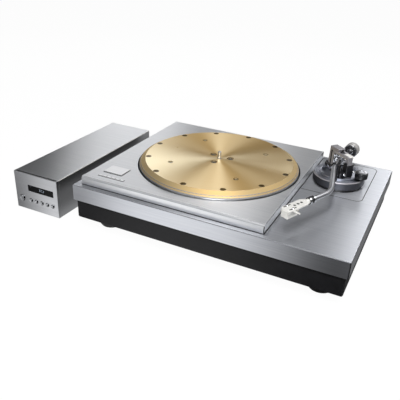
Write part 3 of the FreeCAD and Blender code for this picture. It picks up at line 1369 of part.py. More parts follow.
def make_control_feet():
    feet = []
    far_x = "control_left + control_width - control_foot_inset"
    far_y = "case_rear - control_foot_inset"
    for number, (x, y) in enumerate((
            ("control_left + control_foot_inset", "control_front_y + control_foot_inset"),
            (far_x, "control_front_y + control_foot_inset"),
            ("control_left + control_foot_inset", far_y),
            (far_x, far_y)), start=1):
        feet.append(rod(f"control_foot_{number}", x, y, "0", "control_foot_radius",
                        "control_foot_height"))
    finish(group("control_feet", *feet), "control_feet")


def check_and_write():
    doc.recompute()
    for thing in doc.Objects:
        if "Invalid" in thing.State or "Error" in thing.State:
            raise RuntimeError(f"{thing.Name} failed: {thing.State}")
        if thing.TypeId in ("PartDesign::Pocket", "PartDesign::PolarPattern"):
            before = thing.getPropertyByName("BaseFeature")
            if before is not None and thing.Shape.Volume > before.Shape.Volume - 0.01:
                raise RuntimeError(f"{thing.Name} takes nothing away")
    os.makedirs("parts", exist_ok=True)
    for thing in finished:
        if thing.Shape.isNull() or not thing.Shape.isValid():
            raise RuntimeError(f"{thing.Label} has no sound shape")
        thing.Shape.exportStep(f"parts/{thing.Label}.step")
    print(len(finished), "sub-parts written")


make_slab()
make_base()
for foot_label, (foot_x, foot_y) in foot_spots.items():
    make_foot(foot_label, foot_x, foot_y)
make_armboard()
make_sockets()
make_unit_case()
make_front_plate()
make_keys()
make_bearing()
make_stator()
make_rotor()
make_spindle()
make_platter_body()
make_brass_plate()
make_platter_fittings()
make_arm_pillar()
make_arm_base()
make_bridge()
make_gimbal()
make_arm_hub()
make_arm_tube()
make_collar()
make_headshell()
make_counterweight()
make_skate_dial()
make_lifter()
make_cue_lever()
make_arm_rest()
make_arm_clip()
make_control_case()
make_front_panel()
for button_label, (spot_x, spot_radius) in button_spots.items():
    make_button(button_label, spot_x, spot_radius)
make_control_inside()
make_control_rear()
make_control_feet()
check_and_write()
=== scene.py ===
import json
from math import cos, pi, radians, sin

import bmesh
import bpy
from mathutils import Matrix, Vector

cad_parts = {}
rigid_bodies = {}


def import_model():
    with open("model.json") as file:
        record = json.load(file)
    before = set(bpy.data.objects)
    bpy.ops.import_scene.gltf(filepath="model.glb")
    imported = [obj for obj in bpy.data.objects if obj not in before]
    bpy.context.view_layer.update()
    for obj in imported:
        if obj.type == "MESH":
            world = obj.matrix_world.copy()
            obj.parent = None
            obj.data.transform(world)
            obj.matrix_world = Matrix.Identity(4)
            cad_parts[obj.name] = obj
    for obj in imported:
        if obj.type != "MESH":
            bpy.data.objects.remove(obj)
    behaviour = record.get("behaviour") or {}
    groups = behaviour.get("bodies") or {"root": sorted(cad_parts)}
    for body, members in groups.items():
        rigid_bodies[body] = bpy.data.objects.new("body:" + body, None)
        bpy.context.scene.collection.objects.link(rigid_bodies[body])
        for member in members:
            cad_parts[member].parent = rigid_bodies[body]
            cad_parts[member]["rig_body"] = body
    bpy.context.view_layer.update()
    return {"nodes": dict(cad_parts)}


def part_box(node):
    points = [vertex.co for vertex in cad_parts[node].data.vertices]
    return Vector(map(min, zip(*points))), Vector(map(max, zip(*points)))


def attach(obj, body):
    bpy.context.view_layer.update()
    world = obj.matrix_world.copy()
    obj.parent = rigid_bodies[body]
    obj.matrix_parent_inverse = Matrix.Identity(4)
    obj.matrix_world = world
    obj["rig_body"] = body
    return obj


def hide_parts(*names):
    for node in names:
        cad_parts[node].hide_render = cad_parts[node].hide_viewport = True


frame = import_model()

mm = 0.001


# Colours and nodes

def hexColour(text):
    parts = [int(text[i:i + 2], 16) / 255 for i in (1, 3, 5)]
    return [c / 12.92 if c <= 0.04045 else ((c + 0.055) / 1.055) ** 2.4 for c in parts] + [1.0]


def addNode(tree, kind, settings=None, inputs=None):
    # inputs hold plain values, or (node, output) pairs that become links
    node = tree.nodes.new(kind)
    for name, setting in (settings or {}).items():
        setattr(node, name, setting)
    for name, given in (inputs or {}).items():
        if isinstance(given, tuple):
            tree.links.new(given[0].outputs[given[1]], node.inputs[name])
        else:
            node.inputs[name].default_value = given
    return node


def maths(tree, operation, *given):
    return addNode(tree, "ShaderNodeMath", {"operation": operation}, dict(enumerate(given)))


def vectors(tree, operation, *given):
    return addNode(tree, "ShaderNodeVectorMath", {"operation": operation},
                   dict(enumerate(given)))


def emptyTree(owner):
    owner.use_nodes = True
    owner.node_tree.nodes.clear()
    return owner.node_tree


def startMaterial(name, **shaderInputs):
    material = bpy.data.materials.new(name)
    tree = emptyTree(material)
    coords = addNode(tree, "ShaderNodeTexCoord")
    shader = addNode(tree, "ShaderNodeBsdfPrincipled", inputs=shaderInputs)
    addNode(tree, "ShaderNodeOutputMaterial", inputs={"Surface": (shader, "BSDF")})
    return material, tree, coords, shader


# where along the noise the darker colour ends and the lighter one starts
rampEnds = (0.3, 0.7)


def colourFrom(tree, shader, factor, dark, light):
    ramp = addNode(tree, "ShaderNodeValToRGB", inputs={"Fac": factor})
    for stop, place, colour in zip(ramp.color_ramp.elements, rampEnds, (dark, light)):
        stop.position = place
        stop.color = hexColour(colour)
    tree.links.new(ramp.outputs["Color"], shader.inputs["Base Color"])
    return ramp


def cutMarks(tree, shader, marks, bumpMm):
    bump = addNode(tree, "ShaderNodeBump", inputs={
        "Height": marks, "Distance": bumpMm * mm, "Strength": 0.5})
    tree.links.new(bump.outputs["Normal"], shader.inputs["Normal"])


def spreadAcross(tree, shader, marksWay):
    # the gloss spreads square to the cut marks, along the surface
    world = addNode(tree, "ShaderNodeVectorTransform", {
        "vector_type": "VECTOR", "convert_from": "OBJECT", "convert_to": "WORLD"},
        {"Vector": marksWay})
    surface = addNode(tree, "ShaderNodeNewGeometry")
    across = vectors(tree, "CROSS_PRODUCT", (surface, "Normal"), (world, "Vector"))
    tree.links.new(across.outputs["Vector"], shader.inputs["Tangent"])


def normalParts(tree):
    surface = addNode(tree, "ShaderNodeNewGeometry")
    return addNode(tree, "ShaderNodeSeparateXYZ", inputs={"Vector": (surface, "Normal")})


# the normal's upward part: up to the first a face is upright, past the second it is level
leanLimits = (0.05, 0.97)


def byLean(tree, upward, upright, rounded, flat):
    # a number for upright faces, one for rounded edges and one for level faces
    amount = None
    for start, step in zip(leanLimits, (rounded - upright, flat - rounded)):
        above = maths(tree, "GREATER_THAN", upward, start)
        amount = maths(tree, "MULTIPLY_ADD", (above, "Value"), step,
                       (amount, "Value") if amount else upright)
    return amount, "Value"


def glossByLean(tree, shader, upward, roughness, anisotropy):
    for socket, amounts in (("Roughness", roughness), ("Anisotropic", anisotropy)):
        node, output = byLean(tree, upward, *amounts)
        tree.links.new(node.outputs[output], shader.inputs[socket])


def shadeColour(tree, shader, ramp, shade):
    shaded = addNode(tree, "ShaderNodeVectorMath", {"operation": "SCALE"},
                     {0: (ramp, "Color"), "Scale": shade})
    tree.links.new(shaded.outputs["Vector"], shader.inputs["Base Color"])


# the gloss is given for upright faces, rounded edges and level faces
brushing = {
    "roughness": (0.3, 0.75, 0.39), "anisotropy": (0.2, 0.2, 0.95),
    "strokeMm": 160, "endFrom": 0.7, "depthMm": 0.004,
}


def brushedMetal(name, dark, light, lineMm, endShade, edgeShade=0.6):
    # clear-anodised aluminium, brushed along its length and on end faces along its depth: soft
    # streaks; painted shade darkens the end faces and the rounded edges, whose gloss is also
    # duller;
    # the real lines, 0.1 to 0.3 mm, are drawn coarser to show
    material, tree, coords, shader = startMaterial(name, Metallic=1.0)
    lean = normalParts(tree)
    sideways = maths(tree, "ABSOLUTE", (lean, "X"))
    endFace = maths(tree, "GREATER_THAN", (sideways, "Value"), brushing["endFrom"])
    glossByLean(tree, shader, (lean, "Z"), brushing["roughness"], brushing["anisotropy"])
    fine, long = 1 / (lineMm * mm), 1 / (brushing["strokeMm"] * mm)
    scale = vectors(tree, "MULTIPLY_ADD", (endFace, "Value"),
                    [fine - long, long - fine, 0.0], [long, fine, fine])
    stretched = vectors(tree, "MULTIPLY", (coords, "Object"), (scale, "Vector"))
    lines = addNode(tree, "ShaderNodeTexNoise", inputs={
        "Vector": (stretched, "Vector"), "Scale": 1.0, "Detail": 5.0, "Roughness": 0.75})
    ramp = colourFrom(tree, shader, (lines, "Fac"), dark, light)
    # painted shade: the colour is scaled by endShade on end faces and by edgeShade on rounded edges
    shade = maths(tree, "MULTIPLY_ADD", (endFace, "Value"), endShade - 1.0,
                  byLean(tree, (lean, "Z"), 1.0, edgeShade, 1.0))
    shadeColour(tree, shader, ramp, (shade, "Value"))
    cutMarks(tree, shader, (lines, "Fac"), brushing["depthMm"])
    strokes = vectors(tree, "MULTIPLY_ADD", (endFace, "Value"), [-1.0, 1.0, 0.0],
                      [1.0, 0.0, 0.0])
    spreadAcross(tree, shader, (strokes, "Vector"))
    return material


turning = {
    "edgeRoughness": 0.7, "edgeAnisotropy": 0.3, "depthMm": 0.003,
    "deepRoughness": 0.62, "deepAnisotropy": 0.5,
}


def deepen(tree, shader, colour, share):
    # part of the gloss comes back wider and in the metal's deeper colour
    deep = addNode(tree, "ShaderNodeBsdfPrincipled", inputs={
        "Metallic": 1.0, "Roughness": turning["deepRoughness"],
        "Anisotropic": turning["deepAnisotropy"], "Base Color": hexColour(colour)})
    for socket in ("Normal", "Tangent"):
        given = shader.inputs[socket].links[0].from_socket
        tree.links.new(given, deep.inputs[socket])
    mix = addNode(tree, "ShaderNodeMixShader", inputs={
        "Fac": share, 1: (shader, "BSDF"), 2: (deep, "BSDF")})
    output = next(node for node in tree.nodes if node.type == "OUTPUT_MATERIAL")
    tree.links.new(mix.outputs["Shader"], output.inputs["Surface"])


def turnedMetal(name, dark, light, roughness, centre, anisotropy=0.8, lineMm=1.6,
                edgeShade=1.0, deep=None, deepShare=0.0):
    # metal faced on a lathe: rings about an upright axis, and light in fans across them; the
    # real rings, about 0.1 mm apart, are drawn coarser to show
    material, tree, coords, shader = startMaterial(name, Metallic=1.0)
    fromCentre = vectors(tree, "SUBTRACT", (coords, "Object"), [centre[0], centre[1], 0.0])
    flat = vectors(tree, "MULTIPLY", (fromCentre, "Vector"), [1.0, 1.0, 0.0])
    radius = vectors(tree, "LENGTH", (flat, "Vector"))
    split = addNode(tree, "ShaderNodeSeparateXYZ", inputs={"Vector": (fromCentre, "Vector")})
    depth = maths(tree, "ADD", (radius, "Value"), (split, "Z"))
    rings = addNode(tree, "ShaderNodeTexNoise", {"noise_dimensions": "1D"}, {
        "W": (depth, "Value"), "Scale": 1 / (lineMm * mm), "Detail": 5.0, "Roughness": 0.75})
    ramp = colourFrom(tree, shader, (rings, "Fac"), dark, light)
    lean = (normalParts(tree), "Z")
    glossByLean(tree, shader, lean, (roughness, turning["edgeRoughness"], roughness),
                (anisotropy, turning["edgeAnisotropy"], anisotropy))
    # painted shade: the colour of rounded edges is scaled by edgeShade
    shadeColour(tree, shader, ramp, byLean(tree, lean, 1.0, edgeShade, 1.0))
    cutMarks(tree, shader, (rings, "Fac"), turning["depthMm"])
    back = maths(tree, "MULTIPLY", (split, "Y"), -1.0)
    way = addNode(tree, "ShaderNodeCombineXYZ", inputs={"X": (back, "Value"), "Y": (split, "X")})
    unitWay = vectors(tree, "NORMALIZE", (way, "Vector"))
    spreadAcross(tree, shader, (unitWay, "Vector"))
    if deep:
        deepen(tree, shader, deep, deepShare)
    return material


cloudMm = 25


def plainFinish(name, dark, light, roughness, metallic=0.0, grainMm=0.4, bumpMm=0.01, gloss=0.5):
    # a moulded, painted or polished skin: faint cloudy colour and a fine grain
    material, tree, coords, shader = startMaterial(
        name, **{"Metallic": metallic, "Roughness": roughness, "Specular IOR Level": gloss})
    clouds = addNode(tree, "ShaderNodeTexNoise", inputs={
        "Vector": (coords, "Object"), "Scale": 1 / (cloudMm * mm), "Detail": 3.0})
    colourFrom(tree, shader, (clouds, "Fac"), dark, light)
    grain = addNode(tree, "ShaderNodeTexNoise", inputs={
        "Vector": (coords, "Object"), "Scale": 1 / (grainMm * mm), "Detail": 2.0})
    cutMarks(tree, shader, (grain, "Fac"), bumpMm)
    return material


def middleOf(node):
    low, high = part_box(node)
    return (low + high) / 2


spindleAt = middleOf("spindle")
pivotAt = middleOf("arm_pillar")

finishes = {
    # anodised sheet and bars, brushed: cool grey with soft streaks, paler where it is finer; end
    # faces and rounded edges darkened by painted shade
    "slab": brushedMetal("brushedAnodisedAluminium", "#c0c3ca", "#d2d4d9", 2.5, 0.7, 0.42),
    "unit": brushedMetal("finerBrushedAluminium", "#d5d7db", "#e7e8ea", 1.5, 0.32),
    "panel": brushedMetal("brushedFrontPanel", "#cfd1d5", "#e2e3e6", 1.2, 0.32),
    "key": brushedMetal("fineBrushedKeys", "#eeeff1", "#f6f6f8", 0.8, 0.6),
    # lacquered brass off the lathe: pale gold fans over a deeper and wider glow; its rounded
    # edges darkened by painted shade
    "brass": turnedMetal("turnedBrass", "#f6eecb", "#fffae4", 0.38, spindleAt, 0.85,
                         edgeShade=0.45, deep="#dda91c", deepShare=0.36),
    # aluminium and bronze off the lathe: bright, grey or nearly black fans; the rim's rounded
    # edges are darkened by painted shade, and the base disc's side is its top's aluminium
    # darkened by painted shade
    "rim": turnedMetal("turnedAluminium", "#c9cacd", "#e2e2e4", 0.35, spindleAt,
                       edgeShade=0.4),
    "armBase": turnedMetal("darkTurnedAluminium", "#4c4d52", "#5f6066", 0.5, pivotAt, 0.3, 0.8),
    "armTop": turnedMetal("turnedGreyAluminium", "#8b8e98", "#a3a6b0", 0.4, pivotAt, 0.8, 0.8),
    "plug": turnedMetal("darkBronzePlug", "#5c4c30", "#6a5a3c", 0.4, spindleAt, 0.85),
}
plainFinishes = {
    # blasted or satin-plated castings and tube: an even grey with soft highlights
    "bridge": ("satinGreyMetal", "#87858a", "#99979a", 0.45, 0.7, 0.25, 0.02),
    "inner": ("paleSatinMetal", "#8f8d8c", "#a09e9d", 0.5, 0.5, 0.25, 0.02),
    "shell": ("satinSilverShell", "#c9c8c4", "#d9d8d4", 0.45, 0.4, 0.3, 0.01),
    "tube": ("satinTube", "#a0a1a5", "#aaabaf", 0.4, 1.0, 1.0, 0.001),
    # plated or machined metal: small, sharp and bright reflections
    "chrome": ("polishedChrome", "#c6c7cb", "#d4d5d8", 0.08, 1.0, 1.0, 0.001),
    "satinChrome": ("satinChrome", "#cfd0d3", "#dddee0", 0.2, 1.0, 0.8, 0.002),
    "steel": ("machinedSteel", "#a9a8a5", "#bcbbb8", 0.28, 1.0),
    "knobMetal": ("turnedKnobTop", "#8b8c90", "#9c9da1", 0.3, 1.0),
    "gold": ("goldPlate", "#b08a3c", "#c79e4c", 0.2, 1.0),
    # moulded plastic: an even colour with a low sheen
    "paleBody": ("paleGreyPlastic", "#aeada9", "#bbbab6", 0.4),
    "dialFace": ("greyDialFace", "#2c2d2f", "#36373a", 0.35, 0.5),
    "blackPlastic": ("mouldedBlackPlastic", "#0f0f11", "#151518", 0.38),
    "red": ("redInsulator", "#8e1414", "#9e1a1a", 0.4),
    "white": ("whiteInsulator", "#c8c8c6", "#d6d6d4", 0.4),
    # cast composite, satin paint and rubber: black that takes light only as a dull sheen
    "basePaint": ("mattBlackComposite", "#09090b", "#0d0d10", 0.55, 0.0, 0.4, 0.01, 0.28),
    "blackSatin": ("satinBlackPaint", "#101012", "#17171a", 0.3, 0.0, 0.3, 0.006),
    "rubber": ("blackRubber", "#121213", "#19191a", 0.7, 0.0, 0.6, 0.03),
    # painted shade: black put in slits, gaps and holes and on corners, where shade falls
    "slitDark": ("darkJoint", "#0c0c0e", "#101012", 0.6),
    # smoked acrylic and what is printed or lit on it: nearly black, with quiet marks
    "pane": ("smokedPane", "#030304", "#060608", 0.08, 0.0, 0.4, 0.01, 0.12),
    "ink": ("greyInk", "#4a4b50", "#55565b", 0.5),
    "digit": ("dimDigits", "#76808c", "#848e9a", 0.4),
    # what works inside: each has its material's own colour and no more
    "bronze": ("sinteredBronze", "#8c6a3c", "#a07c4a", 0.4, 1.0),
    "circuitBoard": ("greenCircuitBoard", "#0f3a20", "#14502c", 0.4),
    "copperWire": ("enamelledCopper", "#8a4a22", "#a65c2c", 0.35, 1.0),
    "ferrite": ("greyFerrite", "#2c2c2e", "#363638", 0.55),
    "iron": ("platedIron", "#77787a", "#88898b", 0.4, 1.0),
    "winding": ("yellowWindingTape", "#8a6a1c", "#a4802a", 0.5),
}
finishes.update({key: plainFinish(*facts) for key, facts in plainFinishes.items()})
print("finishes made:", len(finishes))


# Shared shaping steps

mergeReach = 2e-6
sharpAngle = radians(32)


def bodyOf(node):
    return frame["nodes"][node]["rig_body"]


def camel(node):
    first, *others = node.split("_")
    return first + "".join(word.capitalize() for word in others)


def tidy(bm):
    bmesh.ops.remove_doubles(bm, verts=bm.verts, dist=mergeReach)
    bmesh.ops.recalc_face_normals(bm, faces=bm.faces)


def soften(bm, bevelMm, segments=3):
    tidy(bm)
    sharp = [e for e in bm.edges if e.is_manifold and e.calc_face_angle(0) > sharpAngle]
    if bevelMm and sharp:
        bmesh.ops.bevel(bm, geom=sharp, offset=bevelMm * mm, offset_type="OFFSET",
                        affect="EDGES", segments=segments, profile=0.5, clamp_overlap=True,
                        material=-1)
    return bm


def moved(bm, matrix):
    bmesh.ops.transform(bm, matrix=matrix, verts=bm.verts)
    return bm


def joined(*shapes):
    whole = bmesh.new()
    for shape in shapes:
        part = bpy.data.meshes.new("part")
        shape.to_mesh(part)
        shape.free()
        whole.from_mesh(part)
        bpy.data.meshes.remove(part)
    return whole


def addObject(name, data):
    added = bpy.data.objects.new(name, data)
    bpy.context.scene.collection.objects.link(added)
    return added


def addPiece(node, name, bm, finish, replaces=()):
    # the shape becomes a finished piece that rides on the body of its node
    tidy(bm)
    mesh = bpy.data.meshes.new(name)
    bm.to_mesh(mesh)
    bm.free()
    mesh.shade_smooth()
    mesh.set_sharp_from_angle(angle=sharpAngle)
    piece = addObject(name, mesh)
    mesh.materials.append(finishes[finish])
    even = piece.modifiers.new("evenShading", "WEIGHTED_NORMAL")
    even.keep_sharp = True
    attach(piece, bodyOf(node))
    if replaces:
        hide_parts(*replaces)


def pieceFor(node, bm, finish):
    addPiece(node, camel(node), bm, finish, [node])


def ownShape(node):
    # the part's own shape, merged into one clean surface
    bm = bmesh.new()
    bm.from_mesh(frame["nodes"][node].data)
    bmesh.ops.remove_doubles(bm, verts=bm.verts, dist=mergeReach)
    bmesh.ops.dissolve_limit(bm, angle_limit=radians(0.5), verts=bm.verts, edges=bm.edges)
    return bm


def ownPieces(table):
    # parts that keep their own shape: how far their edges are rounded off, and their finish
    for node, (edge, finish) in table.items():
        pieceFor(node, soften(ownShape(node), edge), finish)


def block(low, high):
    # corners in millimetres
    bm = bmesh.new()
    bmesh.ops.create_cube(bm, size=1.0)
    low, high = Vector(low) * mm, Vector(high) * mm
    bmesh.ops.scale(bm, vec=high - low, verts=bm.verts)
    bmesh.ops.translate(bm, vec=(high + low) / 2, verts=bm.verts)
    return bm


def prism(outline, low, high):
    # an outline in millimetres, raised from one height to another
    bm = bmesh.new()
    face = bm.faces.new([bm.verts.new((x * mm, y * mm, low * mm)) for x, y in outline])
    raised = bmesh.ops.extrude_face_region(bm, geom=[face])
    up = [item for item in raised["geom"] if isinstance(item, bmesh.types.BMVert)]
    bmesh.ops.translate(bm, vec=(0, 0, (high - low) * mm), verts=up)
    tidy(bm)
    return bm


def loopBand(outer, inner, low, high):
    # a flat band between two outlines with as many points each
    bm = bmesh.new()
    rings = []
    for outline, height in ((outer, low), (outer, high), (inner, high), (inner, low)):
        rings.append([bm.verts.new((x * mm, y * mm, height * mm)) for x, y in outline])
    for ring, following in zip(rings, rings[1:] + rings[:1]):
        for number in range(len(ring)):
            after = (number + 1) % len(ring)
            bm.faces.new((ring[number], ring[after], following[after], following[number]))
    tidy(bm)
    return bm


def roundedBox(low, high, radii, steps=8):
    # corners in order: front left, front right, rear right, rear left
    points = []
    corners = ((low[0], low[1], 1, 1, 180), (high[0], low[1], -1, 1, 270),
               (high[0], high[1], -1, -1, 0), (low[0], high[1], 1, -1, 90))
    for (x, y, inX, inY, start), radius in zip(corners, radii):
        for step in range(steps + 1):
            way = radians(start + 90 * step / steps)
            points.append((x + inX * radius + radius * cos(way),
                           y + inY * radius + radius * sin(way)))
    return points


def lathe(profile, steps=96):
    # (radius, height) pairs in millimetres, turned about the upright axis
    bm = bmesh.new()
    verts = [bm.verts.new((r * mm, 0, h * mm)) for r, h in profile]
    edges = [bm.edges.new(pair) for pair in zip(verts, verts[1:])]
    bmesh.ops.spin(bm, geom=verts + edges, cent=(0, 0, 0), axis=(0, 0, 1), angle=2 * pi,
                   steps=steps, use_merge=True)
    tidy(bm)
    return bm


def blockRing(count, low, high):
    # copies of a block about the upright axis
    bm = block(low, high)
    bmesh.ops.spin(bm, geom=bm.verts[:] + bm.edges[:] + bm.faces[:], cent=(0, 0, 0),
                   axis=(0, 0, 1), angle=2 * pi * (count - 1) / count, steps=count - 1,
                   use_duplicate=True)
    return bm


def numbers(text, heightMm, depthMm):
    # raised digits, centred, facing up
    curve = bpy.data.curves.new("digits", "FONT")
    curve.body = text
    curve.size = heightMm * mm * 1.4  # a digit is 1 / 1.4 of its line's height
    curve.extrude = depthMm * mm / 2
    curve.align_x, curve.align_y = "CENTER", "CENTER"
    carrier = bpy.data.objects.new("digits", curve)
    mesh = bpy.data.meshes.new_from_object(carrier)
    bm = bmesh.new()
    bm.from_mesh(mesh)
    bpy.data.objects.remove(carrier)
    bpy.data.curves.remove(curve)
    bpy.data.meshes.remove(mesh)
    return bm


def shift(x=0.0, y=0.0, z=0.0):
    return Matrix.Translation(Vector((x, y, z)) * mm)


def turn(degrees, axis="Z"):
    return Matrix.Rotation(radians(degrees), 4, axis)


# Plinth: slab, black base, tonearm board and feet

plinth = {
    "own": {"plinth_top": (0.6, "slab"), "plinth_base": (0.5, "basePaint"),
            "armboard": (0.15, "slab")},
    "corner": 2.0, "cornerHeights": (64.7, 95.3), "proud": 0.02,
    "jointIn": 0.35, "jointOut": 1.25, "leftIn": 0.1, "leftOut": 0.6,
    "radiiIn": (0.3, 11.7, 11.7, 0.3), "radiiOut": (0.6, 13.2, 13.2, 0.6),
    "jointHeights": (95.2, 96.05),
}


def cornerShadeStrip(node, width, low, high):
    # painted shade: a dark upright strip on the front right corner of a part
    near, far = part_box(node)
    x, front = far.x / mm + plinth["proud"], near.y / mm - plinth["proud"]
    return prism([(x, front), (x - width, front), (x, front + width)], low, high)


def makePlinth():
    ownPieces(plinth["own"])
    # painted shade on the slab's front right corner
    strip = cornerShadeStrip("plinth_top", plinth["corner"], *plinth["cornerHeights"])
    addPiece("plinth_top", "slabCorner", strip, "slitDark")
    # painted shade: a black band in the slit round the armboard and just beyond it, where shade
    # falls
    low, high = [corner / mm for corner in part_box("armboard")]
    inside, outside = plinth["jointIn"], plinth["jointOut"]
    outer = roundedBox((low.x - plinth["leftOut"], low.y - outside),
                       (high.x + outside, high.y + outside), plinth["radiiOut"])
    inner = roundedBox((low.x + plinth["leftIn"], low.y + inside),
                       (high.x - inside, high.y - inside), plinth["radiiIn"])
    addPiece("plinth_top", "armboardJoint", loopBand(outer, inner, *plinth["jointHeights"]),
             "slitDark")


foot = {
    "profile": [(0, 25.2), (19, 25.2), (22, 24.4), (23.6, 22.6), (24.6, 20.4), (24.9, 17.0),
                (24.9, 13.6), (24.2, 13.2), (24.2, 12.2), (24.9, 11.8), (24.9, 6.2),
                (24.2, 4.4), (22.6, 3.2), (0, 3.2)],
    "pad": [(0, 3.3), (21.5, 3.3), (21.9, 1.2), (21.2, 0.2), (16.0, 0.0), (15.4, 0.6),
            (0, 0.6)],
    "stud": [(0, 33.5), (3.6, 33.5), (4.0, 33.0), (4.0, 25.1), (0, 25.1)],
}


def makeFeet():
    for node in [name for name in frame["nodes"] if name.startswith("foot_")]:
        middle = middleOf(node) / mm
        stand = shift(middle.x, middle.y)
        pieceFor(node, moved(joined(lathe(foot["profile"]), lathe(foot["stud"], 32)), stand),
                 "blackSatin")
        addPiece(node, camel(node) + "Pad", moved(lathe(foot["pad"]), stand), "rubber")


makePlinth()
makeFeet()
print("plinth made")


# Drive unit: case, front plate and keys

unit = {
    "own": {"unit_case": (0.12, "unit"), "unit_front_plate": (0.12, "unit"),
            "start_stop_key": (0.5, "key"), "speed_key_1": (0.5, "key"),
            "speed_key_2": (0.5, "key"), "speed_key_3": (0.5, "key")},
    "digitHeight": 2.6, "digitRise": 0.12,
    "corner": 1.3, "cornerFrom": 97.2, "cornerDrop": 2.5,
    "startGap": 1.8, "speedGap": 1.7, "gapSide": 0.7, "gapDepth": 0.1, "gapRise": 0.05,
    "gapClear": 0.02,
    "sealHeights": (96.02, 96.9), "sealIn": 2.9, "sealFront": 0.5, "sealRight": 1.2,
    "sealRest": 0.06, "sealRadii": (0.3,) * 4,
}


def keyShadow(first, last, width):
    # painted shadow: a dark strip on the case in front of the keys and to their right
    low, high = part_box(first)[0] / mm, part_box(last)[1] / mm
    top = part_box("unit_case")[1].z / mm
    under, over = top - unit["gapDepth"], top + unit["gapRise"]
    front, clear = low.y - width, unit["gapClear"]
    return joined(block((low.x, front, under), (high.x, low.y - clear, over)),
                  block((high.x + clear, front, under),
                        (high.x + width * unit["gapSide"], high.y, over)))


def makeUnit():
    ownPieces(unit["own"])
    low, high = [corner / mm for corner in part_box("unit_front_plate")]
    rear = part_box("unit_case")[1].y / mm
    # painted shade on the unit's front right corner
    strip = cornerShadeStrip("unit_front_plate", unit["corner"], unit["cornerFrom"],
                        high.z - unit["cornerDrop"])
    addPiece("unit_case", "unitCorner", strip, "slitDark")
    # painted shadow: a black band round the foot of the unit, in the gap between it and the slab
    # and a little beyond its front and right side
    rest, inside = unit["sealRest"], unit["sealIn"]
    outer = roundedBox((low.x - rest, low.y - unit["sealFront"]),
                       (high.x + unit["sealRight"], rear + rest), unit["sealRadii"], 2)
    inner = roundedBox((low.x + inside, low.y + inside), (high.x - inside, rear - inside),
                       unit["sealRadii"], 2)
    addPiece("unit_case", "unitSeal", loopBand(outer, inner, *unit["sealHeights"]), "slitDark")
    # painted shadow by the start key and by the row of speed keys
    for name, first, last, width in (
            ("startKeyGap", "start_stop_key", "start_stop_key", unit["startGap"]),
            ("speedKeyGap", "speed_key_1", "speed_key_3", unit["speedGap"])):
        addPiece("unit_case", name, keyShadow(first, last, width), "slitDark")
    for number, speed in enumerate(("33", "45", "78"), start=1):
        node = f"speed_key_{number}"
        middle, top = middleOf(node) / mm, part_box(node)[1].z / mm
        digits = numbers(speed, unit["digitHeight"], unit["digitRise"])
        addPiece(node, f"speedNumber{number}", moved(digits, shift(middle.x, middle.y, top)),
                 "ink")


makeUnit()
print("drive unit made")


# Platter: rim, brass plate and its fittings

platter = {
    "own": {"platter_body": (0.2, "rim"), "brass_plate": (0.2, "brass"), "spindle": (0, "tube")},
    "band": [(157.3, 120.9), (157.9, 121.15), (160.5, 117.5), (160.3, 117.2), (157.9, 120.7),
             (157.3, 120.6), (157.3, 120.9)],
    "ringHeights": (126.3, 126.46), "ringWidth": 0.9,
}
fittings = {
    "platter_weights": {
        "finish": "plug", "count": 12, "circle": 143.0, "phase": 27.5, "ring": None,
        "profile": [(0, 126.0), (4.6, 126.1), (5.3, 126.25), (5.75, 125.9), (5.75, 118.5),
                    (0, 118.5)],
    },
    "plate_screws": {
        "finish": "steel", "count": 4, "circle": 101.5, "phase": 42.5, "ring": 4.1,
        "profile": [(0, 123.4), (1.5, 123.4), (1.5, 124.9), (3.6, 124.9), (4.05, 124.5),
                    (4.05, 121.0), (2.0, 120.6), (2.0, 108.2), (0, 108.2)],
    },
    "rotor_screws": {
        "finish": "steel", "count": 3, "circle": 22.5, "phase": 26.0, "ring": 5.6,
        "profile": [(0, 122.8), (2.1, 122.8), (2.1, 125.2), (4.9, 125.2), (5.5, 124.7),
                    (5.5, 121.3), (2.5, 120.9), (2.5, 98.2), (0, 98.2)],
    },
}


def aboutSpindle(facts, profile):
    middle = spindleAt / mm
    shapes = []
    for number in range(facts["count"]):
        way = radians(facts["phase"] + 360 / facts["count"] * number)
        spot = shift(middle.x + facts["circle"] * cos(way),
                     middle.y + facts["circle"] * sin(way))
        shapes.append(moved(lathe(profile, 32), spot))
    return joined(*shapes)


def makePlatter():
    ownPieces(platter["own"])
    band = moved(lathe(platter["band"], 256), shift(spindleAt.x / mm, spindleAt.y / mm))
    addPiece("brass_plate", "brassBand", band, "brass")
    low, high = platter["ringHeights"]
    rings = []
    for node, facts in fittings.items():
        pieceFor(node, aboutSpindle(facts, facts["profile"]), facts["finish"])
        if facts["ring"]:
            inside, outside = facts["ring"], facts["ring"] + platter["ringWidth"]
            ring = [(inside, low), (inside, high), (outside, high), (outside, low),
                    (inside, low)]
            rings.append(aboutSpindle(facts, ring))
    addPiece("brass_plate", "screwRings", joined(*rings), "plug")


makePlatter()
print("platter made")


# Tonearm: pillar, height ring, base disc and bridge

armAxis = 146.0
armTurn = -5.5
pivot = pivotAt / mm


def atPivot(degrees=0.0):
    return shift(pivot.x, pivot.y) @ turn(degrees)


def alongArm():
    # turned shapes lie along the arm, with their heights measured back from the pivot
    return atPivot(armTurn) @ shift(z=armAxis) @ turn(-90, "X")


